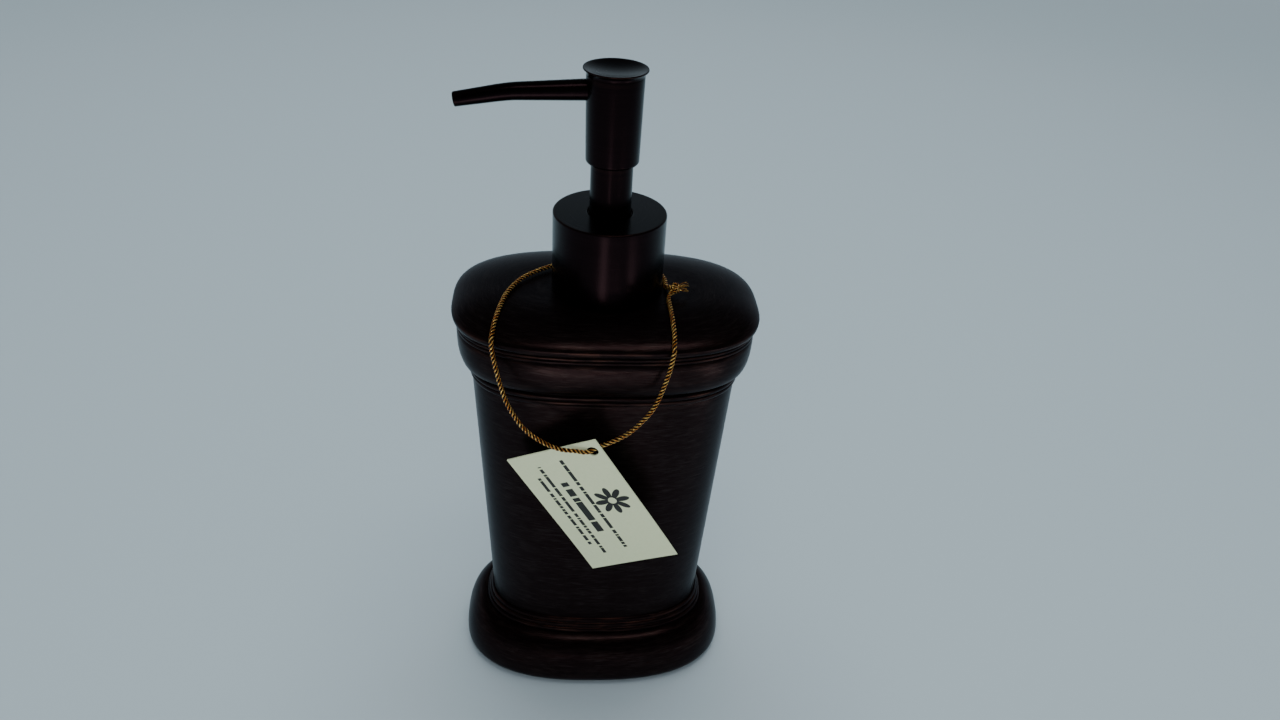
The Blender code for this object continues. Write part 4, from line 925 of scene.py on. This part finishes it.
LEFT, RIGHT, TOP, BOTTOM = -28.8, 3.2, -4.2, 50.3
corners = np.arctan2((TOP, TOP, BOTTOM, BOTTOM), (LEFT, RIGHT, LEFT, RIGHT))
turn = np.sort(np.concatenate([np.linspace(-np.pi, np.pi, 252, endpoint=False), corners]))
aside, below = np.cos(turn), np.sin(turn)
to_side = np.where(aside > 0, RIGHT, LEFT) / np.where(np.abs(aside) < 1e-9, 1e-9, aside)
to_end = np.where(below > 0, BOTTOM, TOP) / np.where(np.abs(below) < 1e-9, 1e-9, below)
rim = np.minimum(np.abs(to_side), np.abs(to_end))
shares = np.linspace(0, 1, 40)[:, None] ** 1.2
reach = 1.8 + (rim - 1.8) * shares
u, v = reach * aside, reach * below


def card_side(lift):
    """Points of one side of the card, lifted off its middle, with the far left edge curling forwards."""
    curl = 0.2 * np.clip((-u - 8) / 21, 0, 1) ** 2 + 0.35 * np.clip((v - 30) / 20, 0, 1) ** 2
    return TAG_HOLE + u[..., None] * tag_across + v[..., None] * tag_down + (lift + curl)[..., None] * tag_out


card_points = np.concatenate([card_side(np.float64(0.2)), card_side(np.float64(-0.2))[::-1]])
card_labels = {
    "card_u": np.concatenate([u, u[::-1]]),
    "card_v": np.concatenate([v, v[::-1]]),
    "front": np.concatenate([np.ones_like(u), np.zeros_like(u)]),
}
tag = skin("hang_tag_card", [card_points * MM], card, wrap_rows=True, smooth_angle=30, attributes=card_labels)
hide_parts("hang_tag")
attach(tag, "tag_body")

# %% [markdown]
# ## The pieces inside
#
# The pump's works hardly show from outside, but they are there, and they show as soon as the head is
# pressed or the cap is unscrewed. Their solids are already right, so each only gets a finish: milky
# moulded plastic, black plastic with a fine texture, bright steel and soft rubber.

# %% Finish the inner pieces
def plain_finish(name, colour, roughness, metallic=0.0, clear=0.0, grain=0.0):
    """A plain finish with a little grain in its roughness and a faint bump."""
    made, tree, shader = new_material(name)
    coordinates = node(tree, "ShaderNodeTexCoord")
    sockets = {"Vector": coordinates.outputs["Object"], "Scale": 1400.0, "Detail": 3.0}
    noise = node(tree, "ShaderNodeTexNoise", sockets)
    fac = noise.outputs["Fac"]
    rough = spread(tree, fac, 0.3, 0.7, roughness - grain, roughness + grain)
    tree.links.new(rough, shader.inputs["Roughness"])
    bump = node(tree, "ShaderNodeBump", {"Strength": 0.15, "Distance": 0.00003, "Height": fac})
    tree.links.new(bump.outputs["Normal"], shader.inputs["Normal"])
    shader.inputs["Base Color"].default_value = (*colour, 1)
    shader.inputs["Metallic"].default_value = metallic
    shader.inputs["Subsurface Weight"].default_value = clear
    shader.inputs["Subsurface Radius"].default_value = (0.002, 0.002, 0.002)
    return made


milky = plain_finish("natural_plastic_moulded", (0.78, 0.78, 0.74), 0.42, clear=0.4, grain=0.05)
black = plain_finish("black_plastic_moulded", (0.018, 0.018, 0.020), 0.45, grain=0.08)
steel = plain_finish("steel_bright", (0.56, 0.57, 0.59), 0.22, metallic=1.0, grain=0.05)
rubber = plain_finish("soft_rubber_matte", (0.030, 0.030, 0.033), 0.75, grain=0.06)
PLASTIC = ["pump_housing", "dip_tube", "valve_retainer", "piston", "stem", "stem_ferrule", "spout_liner"]
INSIDE = [
    (milky, PLASTIC),
    (black, ["neck_insert", "guide_bush", "screw_cap", "head_core"]),
    (steel, ["inlet_ball", "outlet_ball"]),
    (rubber, ["base_pad", "neck_gasket", "piston_seal"]),
]
for finish, names in INSIDE:
    for name in names:
        for index in range(len(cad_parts[name].material_slots)):
            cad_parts[name].material_slots[index].material = finish
print("inner pieces finished:", sum(len(names) for _, names in INSIDE))

# %% [markdown]
# ## The return spring
#
# The spring is the one inner piece that has to change shape: it shortens as the head is pressed. A real
# spring of this kind has a nearly flat coil at each end, so that it sits square. Its height is a function
# of the turn, slow over the first and last turns and even in between.

# %% Wind the spring
def coil_height(turn):
    """Height in mm after some turns: 1 mm a turn on the two end turns, the rest shared by eight turns."""
    return 103.4 + np.clip(turn, 0, 1) + np.clip(turn - 1, 0, 8) * 6.1625 + np.clip(turn - 9, 0, 1)


turns = np.linspace(0, 10, 721)
COIL_RADIUS, WIRE_RADIUS = 5.95, 0.45
turned_by = 2 * np.pi * turns
wire_line = np.stack(
    [COIL_RADIUS * np.cos(turned_by), COIL_RADIUS * np.sin(turned_by), coil_height(turns)], -1
)
wire = np.linspace(0, 2 * np.pi, 14, endpoint=False)[:, None]
outward = wire_line * (1, 1, 0) / COIL_RADIUS
ahead = np.gradient(wire_line, axis=0)
ahead /= np.linalg.norm(ahead, axis=1)[:, None]
beside = np.cross(ahead, outward)
round_wire = outward[:, None] * np.cos(wire) + beside[:, None] * np.sin(wire)
wire_points = wire_line[:, None] + WIRE_RADIUS * round_wire
spring = skin("spring_wound", [wire_points * MM], steel, smooth_angle=60)
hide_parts("return_spring")
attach(spring, "pump_body")
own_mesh(spring)
